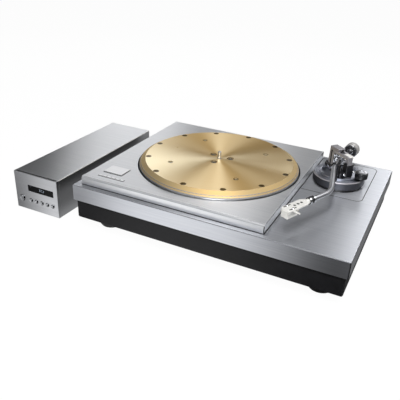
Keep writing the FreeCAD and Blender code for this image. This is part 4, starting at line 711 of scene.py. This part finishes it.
armBase = {
    "own": {"height_ring": (0, "blackSatin"), "arm_pillar": (0, "blackSatin")},
    "side": [(0, 118.3), (48.3, 118.3), (49.9, 117.2), (50.4, 116.6), (50.4, 114.2),
             (50.2, 113.9), (50.4, 113.6), (50.4, 104.2), (49.9, 103.6), (0, 103.6)],
    "stem": [(0, 103.7), (12.0, 103.7), (12.0, 71.6), (0, 71.6)],
    "top": [(0, 118.5), (34.9, 118.5), (35.1, 120.9), (35.5, 121.1), (38.0, 121.1),
            (38.4, 120.7), (38.5, 118.5), (43.6, 118.5), (43.8, 118.3), (44.1, 118.3),
            (44.3, 118.5), (48.4, 118.5), (48.4, 118.2), (0, 118.2)],
    "edge": [(48.8, 117.6), (49.0, 118.2), (50.1, 117.3), (50.45, 116.7), (49.4, 116.4),
             (48.8, 117.6)],
    "ringMarks": (60, (45.9, -0.15, 100.6), (46.05, 0.15, 102.6)),
}


def makeArmBase():
    # the disc's side takes the darker turned finish: painted shade
    side = joined(lathe(armBase["side"], 160), lathe(armBase["stem"], 48))
    pieceFor("arm_base", moved(side, atPivot()), "armBase")
    addPiece("arm_base", "armBaseTop", moved(lathe(armBase["top"], 160), atPivot()), "armTop")
    addPiece("arm_base", "armBaseEdge", moved(lathe(armBase["edge"], 160), atPivot()), "bridge")
    ownPieces(armBase["own"])
    marks = moved(blockRing(*armBase["ringMarks"]), atPivot())
    addPiece("height_ring", "heightMarks", marks, "ink")


# places in the bridge's own directions: along it, front to back, and up
bridge = {
    "own": {"bridge": (0.7, "bridge"), "bridge_screw": (0.3, "blackSatin"),
            "gimbal_frame": (0.4, "satinChrome"), "arm_hub": (0.3, "chrome")},
    "turn": -39.6, "front": -5.8, "overlap": 0.2,
    "plates": {
        # painted shade: a thin dark plate on the bridge's front where its slot is
        "bridgeSlot": ([((-27.2, 120.5), (-23.6, 157.6)), ((-27.2, 156.4), (-21.0, 158.4))],
                       0.08, 0, "slitDark"),
        "bridgeStrip": ([((-22.4, 120.0), (-17.6, 158.6)), ((-22.4, 155.4), (17.0, 159.2))],
                        0.5, 0.2, "inner"),
    },
    # black blocks over the front of the bridge and over the lower part of its right leg
    "blocks": {"bridgeShroud": ((3.5, -10.0, 118.6), (18.5, -6.0, 135.6), 1.8),
               "bridgeBoot": ((14.0, -6.6, 118.6), (27.0, 10.2, 145.0), 2.0)},
    "facet": [(-6.0, 157.9), (-2.4, 161.3), (6.2, 161.3), (6.2, 157.9)],
    "facetReach": (8.0, 26.2), "facetEdge": 0.25,
    "wheelAt": (-33.4, -4.6, 125.2), "knobAt": (22.4, -5.8, 146.5),
    "screwsAt": [(-20.0, -6.2, 124.6), (-29.9, -5.7, 123.6)],
    "wheel": [(0, 0), (4.2, 0), (5.4, 0.5), (5.6, 1.0), (5.6, 3.2), (5.2, 3.8), (3.6, 4.2),
              (3.2, 3.6), (0, 3.6)],
    "knob": [(0, 2.4), (2.2, 2.3), (2.7, 1.9), (2.7, 0.0), (0, 0)],
    "screw": [(0, 1.1), (0.5, 1.1), (2.2, 1.3), (2.7, 0.8), (2.7, 0.0), (0, 0)],
}


def onBridge(bm):
    return moved(bm, atPivot(bridge["turn"]))


def facing(profile, place):
    # a turned shape with its axis to the front of the bridge
    return onBridge(moved(lathe(profile, 40), shift(*place) @ turn(90, "X")))


def frontPlates(corners, thickness):
    front = bridge["front"]
    plates = [block((low[0], front - thickness, low[1]),
                    (high[0], front + bridge["overlap"], high[1])) for low, high in corners]
    return onBridge(joined(*plates))


def makeBridge():
    ownPieces(bridge["own"])
    facet = moved(prism(bridge["facet"], *bridge["facetReach"]), turn(90, "Z") @ turn(90, "X"))
    wheel = moved(lathe(bridge["wheel"], 48), shift(*bridge["wheelAt"]) @ turn(-90, "Y"))
    screws = joined(*[facing(bridge["screw"], place) for place in bridge["screwsAt"]])
    for name, (corners, depth, edge, finish) in bridge["plates"].items():
        addPiece("bridge", name, soften(frontPlates(corners, depth), edge), finish)
    for name, (low, high, edge) in bridge["blocks"].items():
        addPiece("bridge", name, onBridge(soften(block(low, high), edge, 4)), "blackSatin")
    # the facet is a polished bevel; its paler colour is partly the polish and partly a painted
    # highlight
    addPiece("bridge", "bridgeFacet", onBridge(soften(facet, bridge["facetEdge"])), "shell")
    addPiece("bridge", "bridgeWheel", onBridge(wheel), "blackSatin")
    addPiece("bridge", "bridgeKnob", facing(bridge["knob"], bridge["knobAt"]), "blackSatin")
    addPiece("bridge", "bridgeScrews", screws, "satinChrome")


makeArmBase()
makeBridge()
print("arm base made")


# Tonearm: tube, collar, headshell, cartridge and counterweight

arm = {
    "own": {"arm_tube": (0, "tube"), "weight_shaft": (0.3, "chrome")},
    "collarAt": (253.24, -123.88), "collarTurn": -23.0,
    "collar": [(4.55, 7.0), (5.9, 7.0), (6.4, 6.6), (6.4, 3.4), (5.8, 3.1), (5.8, 2.5),
               (6.3, 2.2), (6.3, -2.4), (5.7, -2.7), (5.7, -3.4), (6.4, -3.7), (6.4, -6.5),
               (5.9, -7.0), (4.55, -7.0), (4.55, 7.0)],
    "collarRibs": (40, (6.2, -0.18, -2.2), (6.42, 0.18, 2.0)),
    "collarEnds": [[(5.6, 6.9), (6.0, 7.0), (6.42, 6.5), (6.42, 3.5), (6.1, 3.4), (5.6, 6.9)],
                   [(5.6, -3.7), (6.1, -3.6), (6.42, -3.8), (6.42, -6.4), (6.0, -6.95),
                    (5.6, -3.7)]],
    "sleeve": [(4.45, 33.6), (6.4, 33.6), (6.9, 34.1), (6.9, 38.6), (6.4, 39.1), (4.45, 39.1),
               (4.45, 33.6)],
    "shell": [(-4.5, -10.5), (-9.5, -19), (-9.5, -62.5), (-7.0, -66), (7.0, -66), (9.5, -62.5),
              (9.5, -19), (4.5, -10.5)],
    "shellHeights": (146.3, 149.5), "shellEdge": 0.6,
    "shellNeck": [(0, 0), (4.4, 0), (4.4, 15.0), (0, 15.0)],
    "finger": [(9.0, -59.6), (14.0, -58.9), (21.5, -58.8), (23.8, -58.2), (24.5, -57.0),
               (23.8, -55.8), (21.5, -55.2), (14.0, -55.1), (9.0, -54.2)],
    "fingerHeights": (148.3, 149.5), "fingerEdge": 0.3,
    "slots": [((-7.4, -61.5), (-5.2, -45.0)), ((5.2, -61.5), (7.4, -45.0))],
    "holes": [(0, -25.0, 2.4), (0, -33.5, 2.4), (0, -42.0, 2.4)],
    "openings": (149.2, 149.58),
    "shellScrewsAt": [(-6.3, -53.0), (6.3, -53.0)],
    "shellScrew": [(0, 150.5), (0.6, 150.5), (1.9, 150.5), (2.2, 150.2), (2.2, 149.4),
                   (0, 149.4)],
    "cartridge": [((-8, -66, 143.3), (8, -40, 146.3)), ((-7.2, -65.4, 133.9), (7.2, -41.5, 143.4)),
                  ((-5.2, -62.0, 133.3), (5.2, -46.0, 134.4))],
    "accent": ((-7.35, -64.2, 139.6), (7.35, -42.6, 141.0)),
    "bodyEdge": 0.5, "accentEdge": 0.2, "pinEdge": 0.15,
    "pins": [(-5.4, 141.6), (-1.8, 141.6), (1.8, 141.6), (5.4, 141.6)],
    "pinHalf": 0.6, "pinReach": (-41.6, -37.2),
}
weight = {
    "dial": [(4.1, 52.6), (4.1, 56.5), (13.2, 56.5), (13.6, 56.1), (13.6, 52.8), (13.2, 52.4),
             (11.4, 52.4), (11.0, 53.2), (6.2, 53.2), (6.0, 52.6), (4.1, 52.6)],
    "dialRing": [(11.5, 52.5), (11.7, 52.05), (13.1, 52.05), (13.62, 52.6), (13.62, 53.7),
                 (13.3, 53.7), (12.9, 52.6), (11.5, 52.5)],
    "dialHub": [(4.05, 53.0), (4.2, 52.05), (6.0, 52.05), (6.3, 52.5), (6.3, 53.3), (4.05, 53.3),
                (4.05, 53.0)],
    "barrel": [(4.1, 57.0), (4.1, 72.8), (11.4, 72.8), (12.0, 73.0), (13.2, 73.0), (13.8, 72.4),
               (14.0, 71.8), (14.0, 69.0), (13.5, 68.8), (13.5, 68.2), (14.0, 68.0),
               (14.0, 59.6), (13.5, 59.4), (13.5, 58.8), (14.0, 58.6), (14.0, 57.6),
               (13.6, 57.0), (4.1, 57.0)],
    "marks": (40, (13.55, -0.14, 54.0), (13.66, 0.14, 55.8)),
}


def atCollar(bm):
    x, y = arm["collarAt"]
    return moved(bm, shift(x, y) @ turn(arm["collarTurn"]))


def alongCollar(bm):
    # heights run back along the tube, from the middle of the collar
    return atCollar(moved(bm, shift(z=armAxis) @ turn(-90, "X")))


def roundTube(profile):
    return moved(lathe(profile), alongArm())


def makeHeadshell():
    neck = moved(lathe(arm["shellNeck"], 40), shift(z=armAxis) @ turn(90, "X"))
    plate = soften(prism(arm["shell"], *arm["shellHeights"]), arm["shellEdge"])
    finger = soften(prism(arm["finger"], *arm["fingerHeights"]), arm["fingerEdge"])
    pieceFor("headshell", atCollar(joined(plate, neck, finger)), "shell")
    # painted shade: the slots and holes are not cut; thin dark patches on the shell's top show them
    under, over = arm["openings"]
    dark = [block((*low, under), (*high, over)) for low, high in arm["slots"]]
    for x, y, radius in arm["holes"]:
        hole = lathe([(0, over), (radius, over), (radius, under), (0, under)], 32)
        dark.append(moved(hole, shift(x, y)))
    addPiece("headshell", "shellOpenings", atCollar(joined(*dark)), "slitDark")
    screws = [moved(lathe(arm["shellScrew"], 32), shift(x, y)) for x, y in arm["shellScrewsAt"]]
    addPiece("headshell", "shellScrews", atCollar(joined(*screws)), "chrome")
    blocks = [soften(block(low, high), arm["bodyEdge"]) for low, high in arm["cartridge"]]
    pieceFor("cartridge", atCollar(joined(*blocks)), "paleBody")
    accent = soften(block(*arm["accent"]), arm["accentEdge"])
    addPiece("cartridge", "cartridgeBand", atCollar(accent), "steel")
    half, (near, far) = arm["pinHalf"], arm["pinReach"]
    pins = [block((x - half, near, z - half), (x + half, far, z + half)) for x, z in arm["pins"]]
    addPiece("cartridge", "cartridgePins", atCollar(soften(joined(*pins), arm["pinEdge"])),
             "gold")


def makeArm():
    ownPieces(arm["own"])
    sleeve = lathe(arm["sleeve"], 64)
    bmesh.ops.scale(sleeve, vec=(1, 1, -1), verts=sleeve.verts)
    addPiece("arm_tube", "tubeSleeve", moved(sleeve, alongArm()), "blackSatin")
    pieceFor("tube_collar", alongCollar(lathe(arm["collar"], 64)), "blackSatin")
    ribs = alongCollar(blockRing(*arm["collarRibs"]))
    addPiece("tube_collar", "collarRibs", ribs, "blackSatin")
    for number, profile in enumerate(arm["collarEnds"], start=1):
        addPiece("tube_collar", f"collarEnd{number}", alongCollar(lathe(profile, 64)),
                 "satinChrome")
    makeHeadshell()
    pieceFor("weight_dial", roundTube(weight["dial"]), "dialFace")
    for name in ("dialRing", "dialHub"):
        addPiece("weight_dial", name, roundTube(weight[name]), "satinChrome")
    marks = moved(blockRing(*weight["marks"]), alongArm())
    addPiece("weight_dial", "dialMarks", marks, "white")
    pieceFor("counterweight", roundTube(weight["barrel"]), "inner")


smallParts = {
    "own": {"lifter_housing": (0.5, "blackSatin"), "cue_lever": (0.3, "satinChrome"),
            "arm_rest": (0.5, "blackPlastic"), "arm_clip": (0.4, "blackPlastic")},
    "knobAt": (301.0, 66.0),
    "knob": [(0, 109.5), (3.0, 109.5), (3.0, 121.6), (11.6, 121.6), (12.0, 122.0),
             (12.0, 123.4), (11.7, 123.7), (11.7, 131.6), (12.0, 132.0), (12.0, 133.2),
             (11.2, 134.0), (0, 134.0)],
    "knobRibs": (48, (11.6, -0.3, 124.2), (12.18, 0.3, 131.2)),
    "knobTop": [(0, 134.3), (4.6, 134.3), (5.0, 134.8), (9.6, 134.8), (10.8, 134.2),
                (10.8, 133.8), (0, 133.8)],
    "knobMarks": (12, (7.0, -0.15, 134.7), (9.4, 0.15, 134.86)),
    "link": [(272.0, 74.6), (270.6, 71.2), (286.6, 65.6), (288.6, 67.0), (288.0, 69.6)],
    "linkHeights": (128.6, 130.4), "linkEdge": 0.4,
    "barEdge": 0.5, "footReach": 0.1, "footRaise": 0.3,
}


def makeKnob():
    spot = shift(*smallParts["knobAt"])
    pieceFor("anti_skate_knob", moved(lathe(smallParts["knob"]), spot), "blackSatin")
    for name, shape, finish in (
            ("knobRibs", blockRing(*smallParts["knobRibs"]), "blackSatin"),
            ("knobTop", lathe(smallParts["knobTop"]), "knobMetal"),
            ("knobMarks", blockRing(*smallParts["knobMarks"]), "ink")):
        addPiece("anti_skate_knob", name, moved(shape, spot), finish)
    link = soften(prism(smallParts["link"], *smallParts["linkHeights"]), smallParts["linkEdge"])
    addPiece("bridge", "forceLink", link, "satinChrome")


def makeSmallArmParts():
    makeKnob()
    ownPieces(smallParts["own"])
    bar = soften(ownShape("lifter_bar"), smallParts["barEdge"])
    # its foot ends a little higher, so that the lowered bar stays clear of the base's top
    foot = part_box("lifter_bar")[0].z
    for vert in bar.verts:
        if vert.co.z < foot + smallParts["footReach"] * mm:
            vert.co.z += smallParts["footRaise"] * mm
    pieceFor("lifter_bar", bar, "blackPlastic")


makeArm()
makeSmallArmParts()
print("tonearm made")


# Control unit

control = {
    "own": {"control_case": (0.5, "unit"), "control_front": (0.3, "panel"),
            "display_window": (0.2, "pane")},
    "buttonRadius": 3.4, "powerRadius": 6.0,
    "ringReach": (0.1, 1.1), "ringHeights": (-0.3, 0.05),
    "digits": {"displaySpeed": ("33.3", 5.6, 2.0, 0.0), "displayMark": ("0", 2.4, -26.0, 3.0)},
    "digitRise": 0.1,
    "joint": ((-341.5, -187.2, 83.6), (-238.0, -182.4, 84.04)),
    "brightEdge": [(-236.7, 84.1), (-236.0, 84.1), (-235.4, 83.5), (-235.4, 82.8),
                   (-236.1, 82.8), (-236.7, 83.4)],
    "edgeStart": 0.5,
}


def buttonProfile(radius):
    # dished front, straight side, and the rim that holds it behind the panel
    return [(0, 10.9), (radius * 0.45, 11.1), (radius * 0.72, 11.8), (radius * 0.86, 12.2),
            (radius - 0.25, 12.1), (radius, 11.7), (radius, 1.5), (radius + 1.2, 1.5),
            (radius + 1.2, 0.0), (0, 0)]


def makeButtons():
    for node in ["power_button"] + [f"button_{number}" for number in range(1, 6)]:
        radius = control["powerRadius" if node == "power_button" else "buttonRadius"]
        middle, back = middleOf(node) / mm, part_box(node)[1].y / mm
        cap = moved(lathe(buttonProfile(radius), 48),
                    shift(middle.x, back, middle.z) @ turn(90, "X"))
        pieceFor(node, cap, "panel")
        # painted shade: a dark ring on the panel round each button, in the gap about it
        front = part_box("control_front")[0].y / mm
        inside, outside = [radius + reach for reach in control["ringReach"]]
        under, over = control["ringHeights"]
        ring = lathe([(inside, under), (inside, over), (outside, over), (outside, under),
                      (inside, under)], 48)
        ring = moved(ring, shift(middle.x, front, middle.z) @ turn(90, "X"))
        addPiece("control_front", camel(node) + "Ring", ring, "slitDark")


def makeDisplay():
    middle, front = middleOf("display_window") / mm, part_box("display_window")[0].y / mm
    for name, (text, height, side, rise) in control["digits"].items():
        digits = moved(numbers(text, height, control["digitRise"]),
                       shift(middle.x + side, front, middle.z + rise) @ turn(90, "X"))
        addPiece("display_window", name, digits, "digit")


def makeControlUnit():
    ownPieces(control["own"])
    # painted shade: a dark strip on the top along the joint of the front panel and the cover
    addPiece("control_case", "coverJoint", block(*control["joint"]), "slitDark")
    # painted highlight: a pale strip along the right top edge of the cover stands for the bright
    # line of its polished edge
    low, high = [corner.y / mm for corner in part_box("control_case")]
    edge = prism(control["brightEdge"], control["edgeStart"] - high, -low)
    addPiece("control_case", "coverEdge", moved(edge, turn(90, "X")), "shell")
    makeDisplay()
    makeButtons()


# Sockets at the rear

# measures run from the left end of the panel or case, and inwards from its rear face; a ring
# has an outer radius, an inner radius and a length
rear = {
    "phono": {"phonoLeft": (13.8, "white"), "phonoRight": (33.12, "red")},
    "shell": (4.6, 4.22, 6.8), "shellIn": 7.0,
    "collar": (6.0, 4.25, 1.4), "collarIn": 7.4,
    "nut": [(2.95, 0.0), (5.0, 0.0), (5.0, 4.0), (4.6, 4.4), (2.95, 4.4), (2.95, 0.0)],
    "nutAt": 49.7, "nutIn": 5.5,
    "linkRing": (8.4, 5.6, 1.5), "linkIn": 1.6, "panelLinkAt": 73.6, "caseLinkAt": 79.2,
    "axisHeight": 42.0, "edge": 0.3,
    "inletAt": 33.0, "inletIn": 9.5, "blade": (1.6, 4.4, 7.0), "bladeEdge": 0.2,
    "blades": [(-7.0, -1.5), (0.0, 2.5), (7.0, -1.5)],
    "screws": [(-339.0, 10.0), (-242.0, 10.0), (-339.0, 76.0), (-242.0, 76.0)],
    "screw": [(0, 1.0), (1.0, 1.0), (1.2, 1.5), (2.4, 1.3), (2.9, 0.8), (2.9, 0.0), (0, 0)],
    "screwIn": 0.1,
}


def rearRing(node, name, place, sizes, finish):
    outer, inner, length = sizes
    edge = rear["edge"]
    ring = lathe([(inner, 0.0), (outer - edge, 0.0), (outer, edge), (outer, length - edge),
                  (outer - edge, length), (inner, length), (inner, 0.0)], 40)
    addPiece(node, name, moved(ring, shift(*place) @ turn(-90, "X")), finish)


def inletBlades(x, y, z):
    wide, tall, length = rear["blade"]
    blades = [block((x + a - wide / 2, y, z + b - tall / 2),
                    (x + a + wide / 2, y + length, z + b + tall / 2)) for a, b in rear["blades"]]
    return soften(joined(*blades), rear["bladeEdge"])


def makeRear():
    low, high = [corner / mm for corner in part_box("socket_panel")]
    middleZ = (low.z + high.z) / 2
    for name, (inset, colour) in rear["phono"].items():
        for end, finish in (("shell", "gold"), ("collar", colour)):
            rearRing("socket_panel", name + end.capitalize(),
                     (low.x + inset, high.y - rear[end + "In"], middleZ), rear[end], finish)
    nut = moved(lathe(rear["nut"], 6),
                shift(low.x + rear["nutAt"], high.y - rear["nutIn"], middleZ) @ turn(-90, "X"))
    addPiece("socket_panel", "earthNut", nut, "gold")
    rearRing("socket_panel", "linkRing",
             (low.x + rear["panelLinkAt"], high.y - rear["linkIn"], middleZ),
             rear["linkRing"], "steel")
    left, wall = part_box("control_case")[0].x / mm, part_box("control_case")[1].y / mm
    plate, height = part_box("control_rear")[1].y / mm, rear["axisHeight"]
    rearRing("control_rear", "rearLinkRing",
             (left + rear["caseLinkAt"], plate - rear["linkIn"], height),
             rear["linkRing"], "steel")
    blades = inletBlades(left + rear["inletAt"], wall - rear["inletIn"], height)
    addPiece("control_rear", "inletPins", blades, "steel")
    screws = [moved(lathe(rear["screw"], 32),
                    shift(x, wall - rear["screwIn"], z) @ turn(-90, "X"))
              for x, z in rear["screws"]]
    addPiece("control_rear", "rearScrews", joined(*screws), "blackSatin")


makeControlUnit()
makeRear()
print("control unit made")


# Parts that show as they are

keptNodes = {
    "stator_board": "circuitBoard", "stator_coils": "copperWire", "bearing_housing": "steel",
    "bearing_bush": "bronze", "rotor_disc": "iron", "rotor_magnets": "ferrite",
    "socket_panel": "blackSatin", "stylus": "chrome", "control_rear": "blackSatin",
    "control_board": "circuitBoard", "transformer": "winding", "control_feet": "rubber",
}
for node, finish in keptNodes.items():
    mesh = frame["nodes"][node].data
    mesh.materials.clear()
    mesh.materials.append(finishes[finish])
print("hidden parts dressed:", len(keptNodes))


# Camera, floor and light

camera = {
    "place": (0.42305, -0.90635, 0.54188),
    "yaw": -25.53, "pitch": -27.44, "roll": 2.43,
    "lens": 47.42, "sensor": 36.0, "clip": (0.01, 50.0),
}


def makeCamera():
    yaw, pitch, roll = [radians(camera[name]) for name in ("yaw", "pitch", "roll")]
    ahead = Vector((sin(yaw) * cos(pitch), cos(yaw) * cos(pitch), sin(pitch)))
    right = Vector((cos(yaw), -sin(yaw), 0))
    up = right.cross(ahead)
    rolledRight = right * cos(roll) + up * sin(roll)
    rolledUp = up * cos(roll) - right * sin(roll)
    lens = bpy.data.cameras.new("camera")
    lens.lens, lens.sensor_width = camera["lens"], camera["sensor"]
    lens.clip_start, lens.clip_end = camera["clip"]
    eye = addObject("camera", lens)
    aim = Matrix((rolledRight, rolledUp, -ahead)).transposed()
    eye.matrix_world = Matrix.Translation(Vector(camera["place"])) @ aim.to_4x4()
    bpy.context.scene.camera = eye


# painted reflection: for glossy rays the floor glows in bands that run together towards the
# front, so that polished faces see them; the bands' brightness is given by their places along
# the front of the set in millimetres
floorFacts = {
    "half": 12.0, "glow": 0.97, "paper": "#f2f2f2", "reach": 500.0, "peak": 1.25,
    "meet": (0.423, 0.717), "start": 0.19,
    "mirror": [(-352, 0.19), (-335, 0.23), (-300, 0.47), (-250, 0.85), (-225, 0.85),
               (-190, 0.28), (-170, 0.35), (-140, 0.56), (-110, 0.77), (-80, 0.99),
               (-50, 1.10), (-20, 1.19), (40, 1.22), (100, 1.17), (130, 1.11), (160, 0.99),
               (190, 0.78), (220, 0.55), (250, 0.34), (280, 0.17), (310, 0.085), (340, 0.055),
               (352, 0.10), (375, 0.26)],
}


def makeFloor():
    bm = bmesh.new()
    bmesh.ops.create_grid(bm, x_segments=1, y_segments=1, size=floorFacts["half"])
    mesh = bpy.data.meshes.new("floor")
    bm.to_mesh(mesh)
    bm.free()
    floor = addObject("floor", mesh)
    material = bpy.data.materials.new("paleFloor")
    tree = emptyTree(material)
    paper = addNode(tree, "ShaderNodeBsdfDiffuse", inputs={"Color": hexColour(floorFacts["paper"])})
    white = addNode(tree, "ShaderNodeEmission", inputs={"Strength": 1.0})
    path = addNode(tree, "ShaderNodeLightPath")
    seen = maths(tree, "MULTIPLY", (path, "Is Camera Ray"), floorFacts["glow"])
    bright = addNode(tree, "ShaderNodeMixShader", inputs={
        "Fac": (seen, "Value"), 1: (paper, "BSDF"), 2: (white, "Emission")})
    coords = addNode(tree, "ShaderNodeTexCoord")
    split = addNode(tree, "ShaderNodeSeparateXYZ", inputs={"Vector": (coords, "Object")})
    reach = floorFacts["reach"]
    meetX, meetDepth = floorFacts["meet"]
    ahead = maths(tree, "MULTIPLY_ADD", (split, "Y"), -1 / meetDepth,
                  -floorFacts["start"] / meetDepth)
    ahead = maths(tree, "MAXIMUM", (ahead, "Value"), 0.0)
    across = maths(tree, "MULTIPLY_ADD", (ahead, "Value"), meetX, (split, "X"))
    spread = maths(tree, "ADD", (ahead, "Value"), 1.0)
    band = maths(tree, "DIVIDE", (across, "Value"), (spread, "Value"))
    place = maths(tree, "MULTIPLY_ADD", (band, "Value"), 1 / (2 * reach * mm), 0.5)
    ramp = addNode(tree, "ShaderNodeValToRGB", inputs={"Fac": (place, "Value")})
    stops = ramp.color_ramp.elements
    while len(stops) < len(floorFacts["mirror"]):
        stops.new(0.5)
    for stop, (x, brightness) in zip(stops, floorFacts["mirror"]):
        stop.position = (x + reach) / (2 * reach)
        stop.color = [brightness / floorFacts["peak"]] * 3 + [1.0]
    # painted reflection: the glow that glossy rays see on the floor
    paintedReflectionGlow = addNode(tree, "ShaderNodeEmission", inputs={
        "Color": (ramp, "Color"), "Strength": floorFacts["peak"]})
    whole = addNode(tree, "ShaderNodeMixShader", inputs={
        "Fac": (path, "Is Glossy Ray"), 1: (bright, "Shader"), 2: (paintedReflectionGlow, "Emission")})
    addNode(tree, "ShaderNodeOutputMaterial", inputs={"Surface": (whole, "Shader")})
    mesh.materials.append(material)


# the set is lit mostly by its lamps; the camera sees plain white behind it
worldFacts = {"soft": 0.11, "seen": 1.0, "colour": "#ffffff"}
lampAim = (0.05, 0.0, 0.1)
lamps = {
    "leftBack": {"place": (-1.158, 1.330, 0.978), "size": 0.64, "watts": 3.8},
    "back": {"place": (0.297, 1.845, 0.830), "size": 0.45, "watts": 3.5},
    "overhead": {"place": (-0.574, 0.135, 1.995), "size": 0.36, "watts": 6.6},
    "front": {"place": (0.620, -1.160, 1.626), "size": 0.74, "watts": 57.0},
    "right": {"place": (1.245, 0.783, 1.500), "size": 1.2, "watts": 15.0},
    "frontPanel": {"place": (-1.3, -2.8, 1.6), "size": 2.4, "watts": 12.0, "diffuse": 0.0},
}


def makeLights():
    for name, facts in lamps.items():
        data = bpy.data.lights.new(name, "AREA")
        data.shape = "SQUARE"
        data.size = facts["size"]
        data.energy = facts["watts"]
        data.diffuse_factor = facts.get("diffuse", 1.0)
        lamp = addObject(name, data)
        lamp.location = facts["place"]
        aim = Vector(lampAim) - Vector(facts["place"])
        lamp.rotation_euler = aim.to_track_quat("-Z", "Y").to_euler()


def makeWorld():
    world = bpy.data.worlds.new("studio")
    bpy.context.scene.world = world
    tree = emptyTree(world)
    path = addNode(tree, "ShaderNodeLightPath")
    direct = maths(tree, "ADD", (path, "Is Camera Ray"), (path, "Is Transmission Ray"))
    soft = addNode(tree, "ShaderNodeBackground", inputs={"Strength": worldFacts["soft"]})
    white = addNode(tree, "ShaderNodeBackground", inputs={
        "Color": hexColour(worldFacts["colour"]), "Strength": worldFacts["seen"]})
    mix = addNode(tree, "ShaderNodeMixShader", inputs={
        "Fac": (direct, "Value"), 1: (soft, "Background"), 2: (white, "Background")})
    addNode(tree, "ShaderNodeOutputWorld", inputs={"Surface": (mix, "Shader")})


makeCamera()
makeFloor()
makeLights()
makeWorld()
bpy.context.scene.view_settings.view_transform = "Standard"
print("camera, floor and light set")
